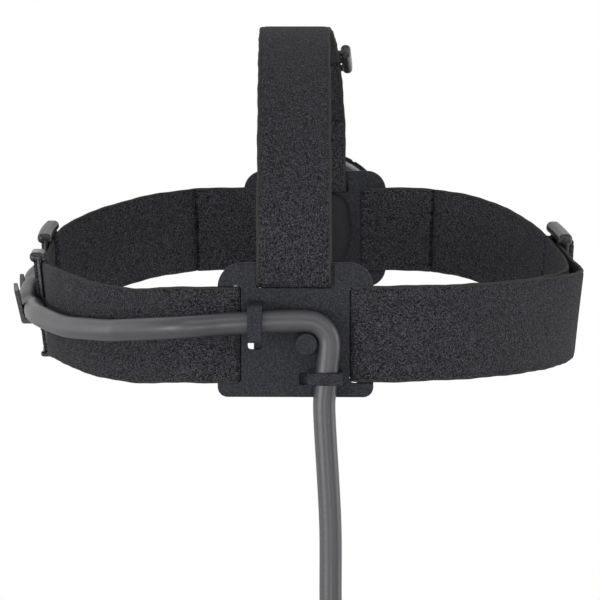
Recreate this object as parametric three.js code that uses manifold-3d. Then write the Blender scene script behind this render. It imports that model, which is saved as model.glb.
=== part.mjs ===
// Headlamp on an elastic three-strap head harness, with its lead and connector.
// Millimetres, +Z up. The origin is the middle of the wearer's head, level with the rear band.
// The lamp looks along -Y, the rear plate is on +Y, and +X is the wearer's left.
import * as THREE from 'three';
import { mergeVertices } from 'three/addons/utils/BufferGeometryUtils.js';
import Module from 'manifold-3d';

const wasm = await Module();
wasm.setup();

// ---------------------------------------------------------------- driving dimensions
const GAP = 0.3;                 // clearance between pieces that touch

const head = { halfWidth: 74.4, halfLength: 96, rise: 18, crown: 82.2, crownLean: 3.1 };
const band = { width: 25, thickness: 1.3, tail: 22, settle: 16 };
const crownStrap = { width: 20, thickness: 1.3 };

const rearPlate = { width: 41.4, height: 35.8, thickness: 2, z: 0.8, topRadius: 6.5, lowRadius: 2.7 };
const frontPlate = { width: 44, height: 36, thickness: 2.4, topRadius: 6, lowRadius: 6 };
const slot = { inner: 14.4, width: 2.6, height: 25.9, z: -0.4, topWidth: 21, topDrop: 4.2, recess: 0.8 };
const chamfer = 0.4;

const cord = { diameter: 5.7, sides: 8 };
const post = { x: -3.1, z: -3.4, radius: 2.75, height: 5.6 };
const bend = { x: -9.1, z: 2.6, radius: 6, low: -8.3 };
const levelHook = { x: 10.5, width: 3.9, top: 7.9, tip: -2.9, wall: 1.3 };
const lowHook = { z: -12.5, width: 3.3, root: -12.8, tip: -3.4, wall: 1.3 };

const buckle = {
  length: 17, bar: 3, barThickness: 1.8, railInner: 0.7, railOuter: 5.4, highRail: 3.6, lowRail: 1.8 };
const slide = {
  length: 15, place: -2, frontPlace: -36, hookWidth: 7.5, hookNeck: 4, hookWall: 1.3, hookLip: 3.2 };
const rightBucklePlace = -36;
const topBucklePlace = -64;

const pad = { width: 22, margin: 6.5, thickness: 2.4, corner: 5 };
const boss = { width: 22, height: 20, reach: 2.4, corner: 3 };
const rightSlack = { start: 72, rise: 2.3, steps: 10, bend: 20 };
const yoke = { thickness: 2.4, height: 12, inside: 46.4, pivotReach: 27.5, bendRadius: 4 };
const pivotScrew = { headRadius: 4.4, headLength: 3.2, shankRadius: 2, grip: 5 };
const washer = { outer: 5, inner: 2.3, thickness: 0.6 };
const yokeScrew = { headRadius: 2.6, headLength: 2, shankRadius: 1.3, spacing: 3.4, reach: 6 };

const lamp = { radius: 21, rear: 16, front: 20, cavity: 15.5, wall: 3, mouth: 17.6, mouthDepth: 2.2 };
const fin = { count: 4, pitch: 3.4, depth: 2.4, width: 1.6 };
const bezelRing = { outer: 22.2, inner: 15.6, thickness: 3.2 };
const glass = { radius: 17.2, thickness: 2 };
const seal = { outer: 17.2, inner: 15.4, thickness: 1 };
const button = { back: 5, radius: 4.9, boss: 7, bossTop: 22.6, top: 24.2, bottom: 12.8, flange: 5.5,
  flangeThickness: 1, travel: 1 };
const tact = { half: 3.4, reach: 10.5, low: 7.2, high: 10.4, stem: 1.6 };
const gland = { back: -13.5, radius: 4.4, nutRadius: 5.6, nutLength: 6, thread: 3, bore: 2.4 };
const boot = { length: 13, wide: 4.3, narrow: 3.4 };

const coil = { radius: 31.6, turns: 2, pitch: 6.6, layer: 6.6, steps: 24, sides: 6, entry: 50, drop: -130,
  aside: 5.6, bend: 25 };
const tie = { thickness: 1, width: 12, angle: 100 };
const plug = {
  bootLength: 16, bootWide: 4.8, bodyRadius: 6.4, bodyLength: 20, insertRadius: 4.6, insertDepth: 5 };

// ---------------------------------------------------------------- materials
const finish = (color, roughness, metalness = 0) =>
  new THREE.MeshStandardMaterial({ color, roughness, metalness });
const elastic = finish(0x2b2b2e, 0.9);
const moulded = finish(0x26272b, 0.55);
const rubber = finish(0x3a3b3f, 0.5);
const anodised = finish(0x1d1e21, 0.4, 0.8);
const steel = finish(0xa8aaad, 0.3, 1);
const foam = finish(0x2a2a2c, 0.95);
const clear = finish(0xe6eef2, 0.05);
const mirror = finish(0xdfe2e6, 0.08, 1);
const board = finish(0xe8e8e4, 0.5);
const circuit = finish(0x20523a, 0.5);
const phosphor = finish(0xf2dc78, 0.4);
const gilt = finish(0xc9a34a, 0.3, 1);

// ---------------------------------------------------------------- solids
const plain = (geometry) => {
  const bare = geometry.index ? geometry : geometry.clone();
  bare.deleteAttribute('normal');
  bare.deleteAttribute('uv');
  return mergeVertices(bare, 1e-4);
};

const toSolid = (geometry) => {
  const merged = plain(geometry);
  return new wasm.Manifold(new wasm.Mesh({
    numProp: 3,
    vertProperties: new Float32Array(merged.attributes.position.array),
    triVerts: new Uint32Array(merged.index.array),
  }));
};

const fromSolid = (solid) => {
  const mesh = solid.getMesh();
  const geometry = new THREE.BufferGeometry();
  geometry.setAttribute('position', new THREE.BufferAttribute(mesh.vertProperties, 3));
  geometry.setIndex(new THREE.BufferAttribute(mesh.triVerts, 1));
  return geometry;
};

const join = (...geometries) => fromSolid(geometries.map(toSolid).reduce((sum, next) => sum.add(next)));
const cut = (base, ...tools) =>
  fromSolid(tools.map(toSolid).reduce((rest, tool) => rest.subtract(tool), toSolid(base)));

// A box given by its low and high corners.
const box = (low, high) => {
  const size = high.map((value, i) => value - low[i]);
  const middle = high.map((value, i) => (value + low[i]) / 2);
  return new THREE.BoxGeometry(...size).translate(...middle);
};

// A round bar along one axis from one place to another, and the same for a lathe profile.
const alongAxis = { x: (g) => g.rotateZ(-Math.PI / 2), y: (g) => g, z: (g) => g.rotateX(Math.PI / 2) };
const rod = (axis, radius, from, to, segments = 24) =>
  alongAxis[axis](
    new THREE.CylinderGeometry(radius, radius, to - from, segments).translate(0, (from + to) / 2, 0));
// A profile that doesn't reach the axis is closed on itself.
const turned = (axis, profile, segments = 32) => {
  const points = profile.map(([r, y]) => new THREE.Vector2(r, y));
  if (profile[0][0] > 0) points.push(points[0].clone());
  return facingOut(alongAxis[axis](new THREE.LatheGeometry(points, segments)));
};

// A flat plate outline with two corner radii, about its own middle.
const plateShape = (width, height, topRadius, lowRadius) => {
  const x = width / 2;
  const y = height / 2;
  const shape = new THREE.Shape();
  shape.moveTo(-x + lowRadius, -y);
  shape.lineTo(x - lowRadius, -y);
  shape.absarc(x - lowRadius, -y + lowRadius, lowRadius, -Math.PI / 2, 0, false);
  shape.lineTo(x, y - topRadius);
  shape.absarc(x - topRadius, y - topRadius, topRadius, 0, Math.PI / 2, false);
  shape.lineTo(-x + topRadius, y);
  shape.absarc(-x + topRadius, y - topRadius, topRadius, Math.PI / 2, Math.PI, false);
  shape.lineTo(-x, -y + lowRadius);
  shape.absarc(-x + lowRadius, -y + lowRadius, lowRadius, Math.PI, Math.PI * 1.5, false);
  return shape;
};

// ---------------------------------------------------------------- the line that the straps follow
const smooth = (t) => {
  const x = THREE.MathUtils.clamp(t, 0, 1);
  return x * x * (3 - 2 * x);
};
// Heights of each side band's middle as [share of the way from the rear to the front along Y, height].
const leftHeights = [
  [0, -0.6], [0.026, -1.2], [0.057, -1.8], [0.104, -1.4], [0.156, -0.6], [0.214, 0.6], [0.281, 1.3],
  [0.37, 1.4],
  [0.474, 1.1], [0.552, 1.8], [0.63, 3.9], [0.708, 7.4], [0.812, 12.6], [0.917, 16.8], [1, head.rise]];
const rightHeights = [
  [0, -0.3], [0.057, -0.5], [0.188, -0.6], [0.344, -0.5], [0.474, -0.2], [0.604, 2.4], [0.708, 6.6],
  [0.812, 11.8], [0.917, 16.4], [1, head.rise]];
const frontZ = head.rise;

// A smooth rise through places and heights, level at both ends.
const heightAlong = (table, share) => {
  const last = table.length - 1;
  const t = THREE.MathUtils.clamp(share, 0, 1);
  const i = Math.min(Math.max(table.findIndex(([place]) => place > t) - 1, 0), last - 1);
  const segment = t >= 1 ? last - 1 : i;
  const slope = (j) => (j <= 0 || j >= last ? 0
    : (table[j + 1][1] - table[j - 1][1]) / (table[j + 1][0] - table[j - 1][0]));
  const [x0, z0] = table[segment];
  const [x1, z1] = table[segment + 1];
  const width = x1 - x0;
  const s = (t - x0) / width;
  return z0 * (1 + 2 * s) * (1 - s) ** 2 + slope(segment) * width * s * (1 - s) ** 2
    + z1 * s * s * (3 - 2 * s) + slope(segment + 1) * width * s * s * (s - 1);
};

// A strap line is a table of points with lengths, so that a flat piece can be laid along it:
// u runs along the line, v across the strap, and w stands off it.
const strapLine = (points, outward) => {
  const lengths = [0];
  points.slice(1).forEach((point, i) => lengths.push(lengths[i] + point.distanceTo(points[i])));
  const at = (u) => {
    let i = lengths.findIndex((length) => length > u) - 1;
    if (i < 0) i = u <= 0 ? 0 : points.length - 2;
    const a = points[i];
    const b = points[i + 1];
    const share = (u - lengths[i]) / (lengths[i + 1] - lengths[i]);
    const place = a.clone().lerp(b, share);
    const before = points[Math.max(i - 1, 0)];
    const after = points[Math.min(i + 2, points.length - 1)];
    const early = b.clone().sub(before).normalize();
    const late = after.clone().sub(a).normalize();
    const along = early.lerp(late, share).normalize();
    const up = outward(along);
    return { place, along, out: up.out, across: up.across };
  };
  return { at, length: lengths[lengths.length - 1], points, lengths };
};

// The plan is straight for flatHalf behind each plate. The other lengths are the reach of its handles.
const flatHalf = 22;
const handle = { rear: 16, side: 64, front: 61, temple: 16 };
const lineSteps = 300;
const crownSteps = 200;
const plan = new THREE.CurvePath();
const v2 = (x, y) => new THREE.Vector2(x, y);
plan.add(new THREE.LineCurve(v2(0, head.halfLength), v2(flatHalf, head.halfLength)));
plan.add(new THREE.CubicBezierCurve(
  v2(flatHalf, head.halfLength), v2(flatHalf + handle.rear, head.halfLength),
  v2(head.halfWidth, handle.side), v2(head.halfWidth, 0)));
plan.add(new THREE.CubicBezierCurve(
  v2(head.halfWidth, 0), v2(head.halfWidth, -handle.front),
  v2(flatHalf + handle.temple, -head.halfLength), v2(flatHalf, -head.halfLength)));
plan.add(new THREE.LineCurve(v2(flatHalf, -head.halfLength), v2(0, -head.halfLength)));
// The left band stands a little in at the ear and out at the temple, each between two places along Y.
const leftWaves = [{ rise: -1.4, rear: 50, front: -34 }, { rise: 5, rear: -2, front: -86 }];
const swellAt = (y) => leftWaves.reduce((sum, wave) => {
  const share = THREE.MathUtils.clamp((wave.rear - y) / (wave.rear - wave.front), 0, 1);
  return sum + wave.rise * Math.sin(Math.PI * share) ** 2;
}, 0);
const sideLine = (heights, swell) => strapLine(
  plan.getSpacedPoints(lineSteps).map((p) => new THREE.Vector3(
    p.x + swell(p.y), p.y, heightAlong(heights, (head.halfLength - p.y) / (2 * head.halfLength)))),
  (along) => {
    const out = new THREE.Vector3(-along.y, along.x, 0).normalize();
    return { out, across: new THREE.Vector3().crossVectors(along, out) };
  });
const leftLine = sideLine(leftHeights, swellAt);
const rightLine = sideLine(rightHeights, () => 0);

// Length along a line at which it passes a given Y.
const lengthAt = (line, y) => line.lengths[line.points.findIndex((point) => point.y <= y)];

const rearTop = rearPlate.z + rearPlate.height / 2;
const frontTop = frontZ + frontPlate.height / 2;
const overHead = new THREE.CurvePath();
const v3 = (x, y, z) => new THREE.Vector3(x, y, z);
const crown = {
  tuck: 4, straight: 2, rearHandle: 32, frontHandle: 24, topHandle: 48, inside: 2.5, soften: 0.02 };
const crownStart = rearTop - slot.topDrop - crown.tuck;
const crownEnd = frontTop - slot.topDrop - crown.tuck;
const rearRise = rearTop + crown.straight;
const frontRise = frontTop + crown.straight;
const crownZ = head.crown - crown.inside;
overHead.add(new THREE.LineCurve3(v3(0, head.halfLength, crownStart), v3(0, head.halfLength, rearRise)));
overHead.add(new THREE.CubicBezierCurve3(
  v3(0, head.halfLength, rearRise), v3(0, head.halfLength, rearRise + crown.rearHandle),
  v3(0, crown.topHandle, crownZ), v3(0, 0, crownZ)));
overHead.add(new THREE.CubicBezierCurve3(
  v3(0, 0, crownZ), v3(0, -crown.topHandle, crownZ),
  v3(0, -head.halfLength, frontRise + crown.frontHandle), v3(0, -head.halfLength, frontRise)));
overHead.add(new THREE.LineCurve3(v3(0, -head.halfLength, frontRise), v3(0, -head.halfLength, crownEnd)));
// The strap lies a little to the wearer's left over the crown.
const leanAt = (y) => head.crownLean
  * (1 - Math.sqrt((y / head.halfLength) ** 2 + crown.soften) / Math.sqrt(1 + crown.soften));
const topLine = strapLine(
  overHead.getSpacedPoints(crownSteps).map((p) => p.setX(leanAt(p.y))),
  (along) => ({
    out: new THREE.Vector3(0, along.z, -along.y).normalize(),
    across: new THREE.Vector3(-1, 0, 0),
  }));

// Lays a flat geometry (x along, y across, z outward) on a strap line.
// side -1 gives the wearer's right, as the mirror image of the left.
const lay = (geometry, line, side = 1) => {
  const laid = plain(geometry);
  const position = laid.attributes.position;
  for (let i = 0; i < position.count; i += 1) {
    const frame = line.at(position.getX(i));
    const point = frame.place.clone()
      .addScaledVector(frame.across, position.getY(i))
      .addScaledVector(frame.out, position.getZ(i));
    position.setXYZ(i, point.x * side, point.y, point.z);
  }
  if (side < 0) {
    const index = laid.index.array;
    for (let i = 0; i < index.length; i += 3) {
      [index[i], index[i + 1]] = [index[i + 1], index[i]];
    }
  }
  return laid;
};

// A strap as a flat ribbon: corners [along, outward, bend radius] of its middle line.
const ribbon = (corners, width, thickness, step = 6) => {
  const path = new THREE.CurvePath();
  const flat = corners.map(([u, w]) => v2(u, w));
  let from = flat[0];
  for (let i = 1; i < flat.length - 1; i += 1) {
    const corner = flat[i];
    const back = flat[i - 1].clone().sub(corner).normalize();
    const on = flat[i + 1].clone().sub(corner).normalize();
    const half = Math.acos(THREE.MathUtils.clamp(back.dot(on), -1, 1)) / 2;
    const reach = corners[i][2] / Math.tan(half);
    const enter = corner.clone().addScaledVector(back, reach);
    const leave = corner.clone().addScaledVector(on, reach);
    path.add(new THREE.LineCurve(from, enter));
    path.add(new THREE.QuadraticBezierCurve(enter, corner, leave));
    from = leave;
  }
  path.add(new THREE.LineCurve(from, flat[flat.length - 1]));
  const stations = [];
  path.curves.forEach((curve, i) => {
    const bent = curve instanceof THREE.QuadraticBezierCurve;
    const count = bent ? 3 : Math.max(1, Math.round(curve.getLength() / step));
    for (let j = i === 0 ? 0 : 1; j <= count; j += 1) {
      const t = j / count;
      const tangent = curve.getTangent(t);
      stations.push({ p: curve.getPoint(t), n: v2(-tangent.y, tangent.x) });
    }
  });
  const corner = (station, out, up) => [
    station.p.x + station.n.x * out * thickness / 2,
    up * width / 2,
    station.p.y + station.n.y * out * thickness / 2,
  ];
  const around = [[-1, -1], [1, -1], [1, 1], [-1, 1]];
  return prism(stations.map((station) => around.map(([out, up]) => corner(station, out, up))));
};

// A closed solid from rings of corners: quads between the rings and a cap at each end.
const prism = (rings) => {
  const size = rings[0].length;
  const vertices = rings.flat(2);
  const index = [];
  for (let i = 0; i < rings.length - 1; i += 1) {
    for (let j = 0; j < size; j += 1) {
      const a = i * size + j;
      const b = i * size + (j + 1) % size;
      index.push(a, b, b + size, a, b + size, a + size);
    }
  }
  const last = (rings.length - 1) * size;
  for (let j = 1; j < size - 1; j += 1) {
    index.push(0, j + 1, j, last, last + j, last + j + 1);
  }
  const geometry = new THREE.BufferGeometry();
  geometry.setAttribute('position', new THREE.Float32BufferAttribute(vertices, 3));
  geometry.setIndex(index);
  return geometry;
};

// Turns a closed solid whose faces point in so that they point out.
function facingOut(geometry) {
  const solid = plain(geometry);
  const p = solid.attributes.position;
  const index = solid.index.array;
  const a = v3(0, 0, 0);
  const b = v3(0, 0, 0);
  const c = v3(0, 0, 0);
  let volume = 0;
  for (let i = 0; i < index.length; i += 3) {
    a.fromBufferAttribute(p, index[i]);
    b.fromBufferAttribute(p, index[i + 1]);
    c.fromBufferAttribute(p, index[i + 2]);
    volume += a.dot(b.cross(c));
  }
  if (volume < 0) {
    for (let i = 0; i < index.length; i += 3) {
      [index[i], index[i + 1]] = [index[i + 1], index[i]];
    }
  }
  return solid;
}

const lamination = band.thickness + GAP;
const layer = (number) => number * lamination + band.thickness / 2;   // middle of a strap layer
const plateBack = lamination;                                         // plates clear the layer behind them
const slotOuter = slot.inner + slot.width;

// ---------------------------------------------------------------- rear plate
const mouldedPlate = (size, back, slotTop) => {
  const shape = plateShape(size.width, size.height, size.topRadius, size.lowRadius);
  const body = new THREE.ExtrudeGeometry(shape, {
    depth: size.thickness - 2 * chamfer,
    bevelThickness: chamfer,
    bevelSize: chamfer,
    bevelOffset: -chamfer,
    bevelSegments: 1,
    curveSegments: 5,
  }).translate(0, 0, back + chamfer);
  const slots = [1, -1].map((side) => box(
    [Math.min(side * slot.inner, side * slotOuter), size.slotZ - slot.height / 2, back - 1],
    [Math.max(side * slot.inner, side * slotOuter), size.slotZ + slot.height / 2,
      back + size.thickness + 1]));
  const top = box(
    [-slot.topWidth / 2, slotTop - slot.width, back - 1],
    [slot.topWidth / 2, slotTop, back + size.thickness + 1]);
  // The bars stand back from the face, so that the straps over them lie nearly flush.
  const low = back + size.thickness - slot.recess;
  const beds = [1, -1].map((side) => box(
    [Math.min(side * slot.inner, side * size.width), size.slotZ - slot.height / 2, low],
    [Math.max(side * slot.inner, side * size.width), size.slotZ + slot.height / 2, low + size.thickness]));
  const topBed = box(
    [-slot.topWidth / 2, slotTop - slot.width, low], [slot.topWidth / 2, size.height, low + size.thickness]);
  return cut(body, ...slots, top, ...beds, topBed);
};

const slotTopOf = (size) => size.height / 2 - slot.topDrop;
// The lead clears the strap that lies over the plate's bar, and the hooks clear the lead.
const rearOuter = plateBack + rearPlate.thickness - slot.recess + GAP + band.thickness / 2;
const frontOuter = plateBack + frontPlate.thickness - slot.recess + GAP + band.thickness / 2;
const cordOff = rearOuter + band.thickness / 2 + GAP + cord.diameter / 2;
const cordY = head.halfLength + cordOff;

const rearPlateSolid = () => {
  // Built lying flat with its outer face up, then stood up against the back of the head.
  const face = plateBack + rearPlate.thickness;
  const reach = cordOff + cord.diameter / 2 + GAP - face;
  const h = levelHook;
  const l = lowHook;
  const flat = mouldedPlate({ ...rearPlate, slotZ: slot.z - rearPlate.z }, plateBack, slotTopOf(rearPlate));
  const levelHole = box(
    [h.x - h.width / 2, h.tip - 2, plateBack - 1], [h.x + h.width / 2, h.top - h.wall, face + 1]);
  const lowHole = box(
    [l.root + h.wall, l.z - l.width / 2, plateBack - 1], [l.tip + 2.4, l.z + l.width / 2, face + 1]);
  const levelRoot = box(
    [h.x - h.width / 2, h.top - h.wall, face - 0.5], [h.x + h.width / 2, h.top, face + reach + h.wall]);
  const levelFace = box(
    [h.x - h.width / 2, h.tip, face + reach], [h.x + h.width / 2, h.top - 0.3, face + reach + h.wall]);
  const lowRoot = box(
    [l.root, l.z - l.width / 2, face - 0.5], [l.root + h.wall, l.z + l.width / 2, face + reach + l.wall]);
  const lowFace = box(
    [l.root + 0.3, l.z - l.width / 2, face + reach], [l.tip, l.z + l.width / 2, face + reach + l.wall]);
  const peg = turned('z', [
    [0, -0.5], [post.radius, -0.5], [post.radius, post.height - 0.5],
    [post.radius - 0.5, post.height], [0, post.height]], 24);
  return join(
    cut(flat, levelHole, lowHole),
    levelRoot, levelFace, lowRoot, lowFace,
    peg.translate(post.x, post.z, face));
};

// A piece drawn with x to the wearer's left, y up and z outward stands at the back of the head.
const atRear = (geometry, z) => {
  const stood = plain(geometry);
  const p = stood.attributes.position;
  for (let i = 0; i < p.count; i += 1) {
    p.setXYZ(i, p.getX(i), head.halfLength + p.getZ(i), z + p.getY(i));
  }
  return facingOut(stood);
};
const atFront = (geometry, z) => {
  const stood = plain(geometry);
  const p = stood.attributes.position;
  for (let i = 0; i < p.count; i += 1) {
    p.setXYZ(i, p.getX(i), -head.halfLength - p.getZ(i), z + p.getY(i));
  }
  return facingOut(stood);
};

// ---------------------------------------------------------------- straps
const rearLength = rearPlate.width / 2;
const leftEnd = leftLine.length;
const rightEnd = rightLine.length;
const slotMiddle = slot.inner + band.thickness / 2 + GAP;
const bendRadius = 1;
const slideU = lengthAt(leftLine, slide.place);
const frontU = lengthAt(leftLine, slide.frontPlace);
const rightU = lengthAt(rightLine, rightBucklePlace);
const topU = lengthAt(topLine, topBucklePlace);

const leftBand = () => ribbon([
  [slotMiddle + band.tail, layer(0)],
  [slotMiddle, layer(0), bendRadius],
  [slotMiddle, rearOuter, bendRadius],
  [rearLength + 1.5, rearOuter, 2],
  [slotMiddle + band.tail - 2, layer(1) + 0.4, 2],
  [slotMiddle + band.tail + 6, layer(0), 2],
  ...slideWeave(slideU),
  ...slideWeave(frontU),
  [leftEnd - slotMiddle - band.tail - 6, layer(0), 2],
  [leftEnd - slotMiddle - band.tail + 2, layer(1) + 0.4, 2],
  [leftEnd - frontPlate.width / 2 - 1.5, frontOuter, 2],
  [leftEnd - slotMiddle, frontOuter, bendRadius],
  [leftEnd - slotMiddle, layer(0), bendRadius],
  [leftEnd - slotMiddle - band.tail, layer(0)],
], band.width, band.thickness);

// The band passes under a slide's outer bars and over its middle bar.
const barBottom = lamination;
const slideSlot = (slide.length - 3 * buckle.bar) / 2;
const slideWeave = (middle) => {
  const over = barBottom + buckle.barThickness + GAP + band.thickness / 2;
  const crossing = (buckle.bar + slideSlot) / 2;
  return [
    [middle - crossing, layer(0), bendRadius],
    [middle - crossing, over, bendRadius],
    [middle + crossing, over, bendRadius],
    [middle + crossing, layer(0), bendRadius],
  ];
};

// The right band: fixed at the front, through the buckle, doubled to the rear plate and back to its bar.
const doubledBar = 2 * lamination;
const rightBand = () => {
  const middle = rightU;
  const hem = buckle.bar / 2 + GAP + band.thickness / 2;
  const hemTop = doubledBar + buckle.barThickness + GAP + band.thickness / 2;
  const over = hemTop + lamination;
  // Between the buckle and the head's side the outer layer stands off the inner one.
  const slack = Array.from({ length: rightSlack.steps + 1 }, (_, i) => {
    const share = 1 - i / rightSlack.steps;
    const u = rightSlack.start + (rightU - buckle.length - rightSlack.start) * share;
    return [u, layer(1) + rightSlack.rise * Math.sin(Math.PI * share) ** 2, rightSlack.bend];
  });
  return ribbon([
    [rightEnd - slotMiddle - band.tail, layer(0)],
    [rightEnd - slotMiddle, layer(0), bendRadius],
    [rightEnd - slotMiddle, frontOuter, bendRadius],
    [rightEnd - frontPlate.width / 2 - 1.5, frontOuter, 2],
    [rightEnd - slotMiddle - band.tail + 2, layer(1) + 0.4, 2],
    [rightEnd - slotMiddle - band.tail - 6, layer(0), 2],
    [middle + hem + lamination, layer(0), bendRadius],
    [middle + hem + lamination, over, bendRadius],
    [middle - hem, over, bendRadius],
    [middle - hem, layer(1), bendRadius],
    ...slack,
    [rearLength + band.settle, layer(1), 3],
    [rearLength + 1.5, rearOuter, 2],
    [slotMiddle, rearOuter, bendRadius],
    [slotMiddle, layer(0), bendRadius],
    [middle + hem, layer(0), bendRadius],
    [middle + hem, hemTop, bendRadius],
    [middle - buckle.bar / 2 + 0.6, hemTop],
  ], band.width, band.thickness);
};

// The top strap: a hem at each plate and a plain weave through its buckle.
const topStrapSolid = () => {
  const start = (rearPlate.z + slotTopOf(rearPlate)) - crownStart - GAP - crownStrap.thickness / 2;
  const end = topLine.length - ((frontZ + slotTopOf(frontPlate)) - crownEnd - GAP - crownStrap.thickness / 2);
  const rearEdge = rearTop - crownStart;
  const frontEdge = topLine.length - (frontTop - crownEnd);
  return ribbon([
    [start + band.tail, layer(0)],
    [start, layer(0), bendRadius],
    [start, rearOuter, bendRadius],
    [rearEdge + 1.5, rearOuter, 2],
    [start + band.tail - 2, layer(1) + 0.4, 2],
    [start + band.tail + 6, layer(0), 2],
    ...slideWeave(topU),
    [end - band.tail - 6, layer(0), 2],
    [end - band.tail + 2, layer(1) + 0.4, 2],
    [frontEdge - 1.5, frontOuter, 2],
    [end, frontOuter, bendRadius],
    [end, layer(0), bendRadius],
    [end - band.tail, layer(0)],
  ], crownStrap.width, crownStrap.thickness);
};

// ---------------------------------------------------------------- buckles and slides
// A three-bar frame lying flat: x along the strap, y across it, z outward.
const frame = (length, barBase, webbing) => {
  const high = webbing / 2 + GAP;
  const ends = [[buckle.highRail, high + buckle.highRail / 2], [buckle.lowRail, -high - buckle.lowRail / 2]];
  const rails = ends.map(([rail, y]) => new THREE.ExtrudeGeometry(
    plateShape(length, rail, buckle.lowRail * 0.45, buckle.lowRail * 0.45), {
      depth: buckle.railOuter - buckle.railInner,
      bevelEnabled: false,
      curveSegments: 3,
    }).translate(0, y, barBase - lamination + buckle.railInner));
  const bars = [-1, 0, 1].map((place) => {
    const x = (place * (length - buckle.bar)) / 2;
    return box(
      [x - buckle.bar / 2, ends[1][1], barBase],
      [x + buckle.bar / 2, ends[0][1], barBase + buckle.barThickness]);
  });
  return join(...rails, ...bars);
};

// The J hook on the rear bar of a slide: under the lead and up its outer side, open at the top.
const hookOn = (base) => {
  const inner = base + buckle.barThickness + GAP;
  const low = -cord.diameter / 2 - GAP;
  const wall = slide.hookWall;
  const neck = -slide.length / 2 + buckle.bar;
  const front = neck - slide.hookNeck;
  const x = front - slide.hookWidth;
  const outer = inner + cord.diameter + 2 * GAP;
  const foot = box([x, low - wall, base + 0.2], [front, low, outer + wall]);
  const outside = box([x, low - 0.2, outer], [front, cord.diameter / 2 + slide.hookLip, outer + wall]);
  const back = box([x, low - wall, base + 0.2], [neck, cord.diameter / 2, base + buckle.barThickness]);
  return join(foot, outside, back);
};

const slideSolid = () => {
  const flat = frame(slide.length, barBottom, band.width);
  return join(flat, hookOn(barBottom));
};


// ---------------------------------------------------------------- front plate, pad and bracket
const frontFace = plateBack + frontPlate.thickness;
const bossFace = frontFace + boss.reach;
const yokeBack = bossFace + GAP;
const yokeFace = yokeBack + yoke.thickness;
const pivotOut = yokeFace + yoke.pivotReach;
const pivotY = -head.halfLength - pivotOut;

const frontPlateSolid = () => {
  const flat = mouldedPlate({ ...frontPlate, slotZ: 0 }, plateBack, slotTopOf(frontPlate));
  const stand = new THREE.ExtrudeGeometry(plateShape(boss.width, boss.height, boss.corner, boss.corner), {
    depth: boss.reach + 0.5,
    bevelEnabled: false,
    curveSegments: 4,
  }).translate(0, 0, frontFace - 0.5);
  const holes = [1, -1].map((side) => rod(
    'z', yokeScrew.shankRadius + GAP, plateBack + 1.4, bossFace + 1, 16)
    .translate(0, side * yokeScrew.spacing, 0));
  return cut(join(flat, stand), ...holes);
};

const padSolid = () => {
  const height = frontPlate.height - 2 * pad.margin;
  const flat = new THREE.ExtrudeGeometry(plateShape(pad.width, height, pad.corner, pad.corner), {
    depth: pad.thickness - 2 * chamfer,
    bevelThickness: chamfer,
    bevelSize: chamfer,
    bevelOffset: -chamfer,
    bevelSegments: 1,
    curveSegments: 3,
  });
  return flat.translate(0, 0, plateBack - GAP - pad.thickness + chamfer);
};

// The bracket is a strip bent into a U, with round ends that carry the lamp.
const yokeSolid = () => {
  const inside = yoke.inside / 2;
  const outside = inside + yoke.thickness;
  const bendAt = yokeFace + yoke.bendRadius;
  const strip = new THREE.Shape();
  strip.moveTo(-outside, pivotOut);
  strip.lineTo(-outside, bendAt);
  strip.absarc(-outside + yoke.bendRadius + yoke.thickness, bendAt, yoke.bendRadius + yoke.thickness,
    Math.PI, Math.PI * 1.5, false);
  strip.absarc(outside - yoke.bendRadius - yoke.thickness, bendAt, yoke.bendRadius + yoke.thickness,
    -Math.PI / 2, 0, false);
  strip.lineTo(outside, pivotOut);
  strip.lineTo(inside, pivotOut);
  strip.absarc(inside - yoke.bendRadius, bendAt, yoke.bendRadius, 0, -Math.PI / 2, true);
  strip.absarc(-inside + yoke.bendRadius, bendAt, yoke.bendRadius, -Math.PI / 2, -Math.PI, true);
  strip.lineTo(-inside, pivotOut);
  const bar = new THREE.ExtrudeGeometry(strip, { depth: yoke.height, bevelEnabled: false, curveSegments: 6 })
    .translate(0, 0, -yoke.height / 2)
    .applyMatrix4(new THREE.Matrix4().set(1, 0, 0, 0, 0, 0, 1, 0, 0, 1, 0, 0, 0, 0, 0, 1));
  const ends = [1, -1].map((side) => rod(
    'x', yoke.height / 2, Math.min(side * inside, side * outside), Math.max(side * inside, side * outside))
    .translate(0, 0, pivotOut));
  const pivotHole = rod('x', pivotScrew.shankRadius + GAP, -outside - 1, outside + 1, 16)
    .translate(0, 0, pivotOut);
  const screwHoles = [1, -1].map((side) => rod(
    'z', yokeScrew.shankRadius + GAP, yokeBack - 1, yokeFace + 1, 16)
    .translate(0, side * yokeScrew.spacing, 0));
  return cut(join(facingOut(bar), ...ends), pivotHole, ...screwHoles);
};

const socketHead = (axis, radius, length, shank, reach) => {
  const body = turned(axis, [
    [0, -reach], [shank, -reach], [shank, 0], [radius, 0], [radius, length - 0.5], [radius - 0.5, length],
    [0, length]], 16);
  const hex = alongAxis[axis](new THREE.CylinderGeometry(radius * 0.5, radius * 0.5, length, 6)
    .translate(0, length * 0.9, 0));
  return cut(body, hex);
};

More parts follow.
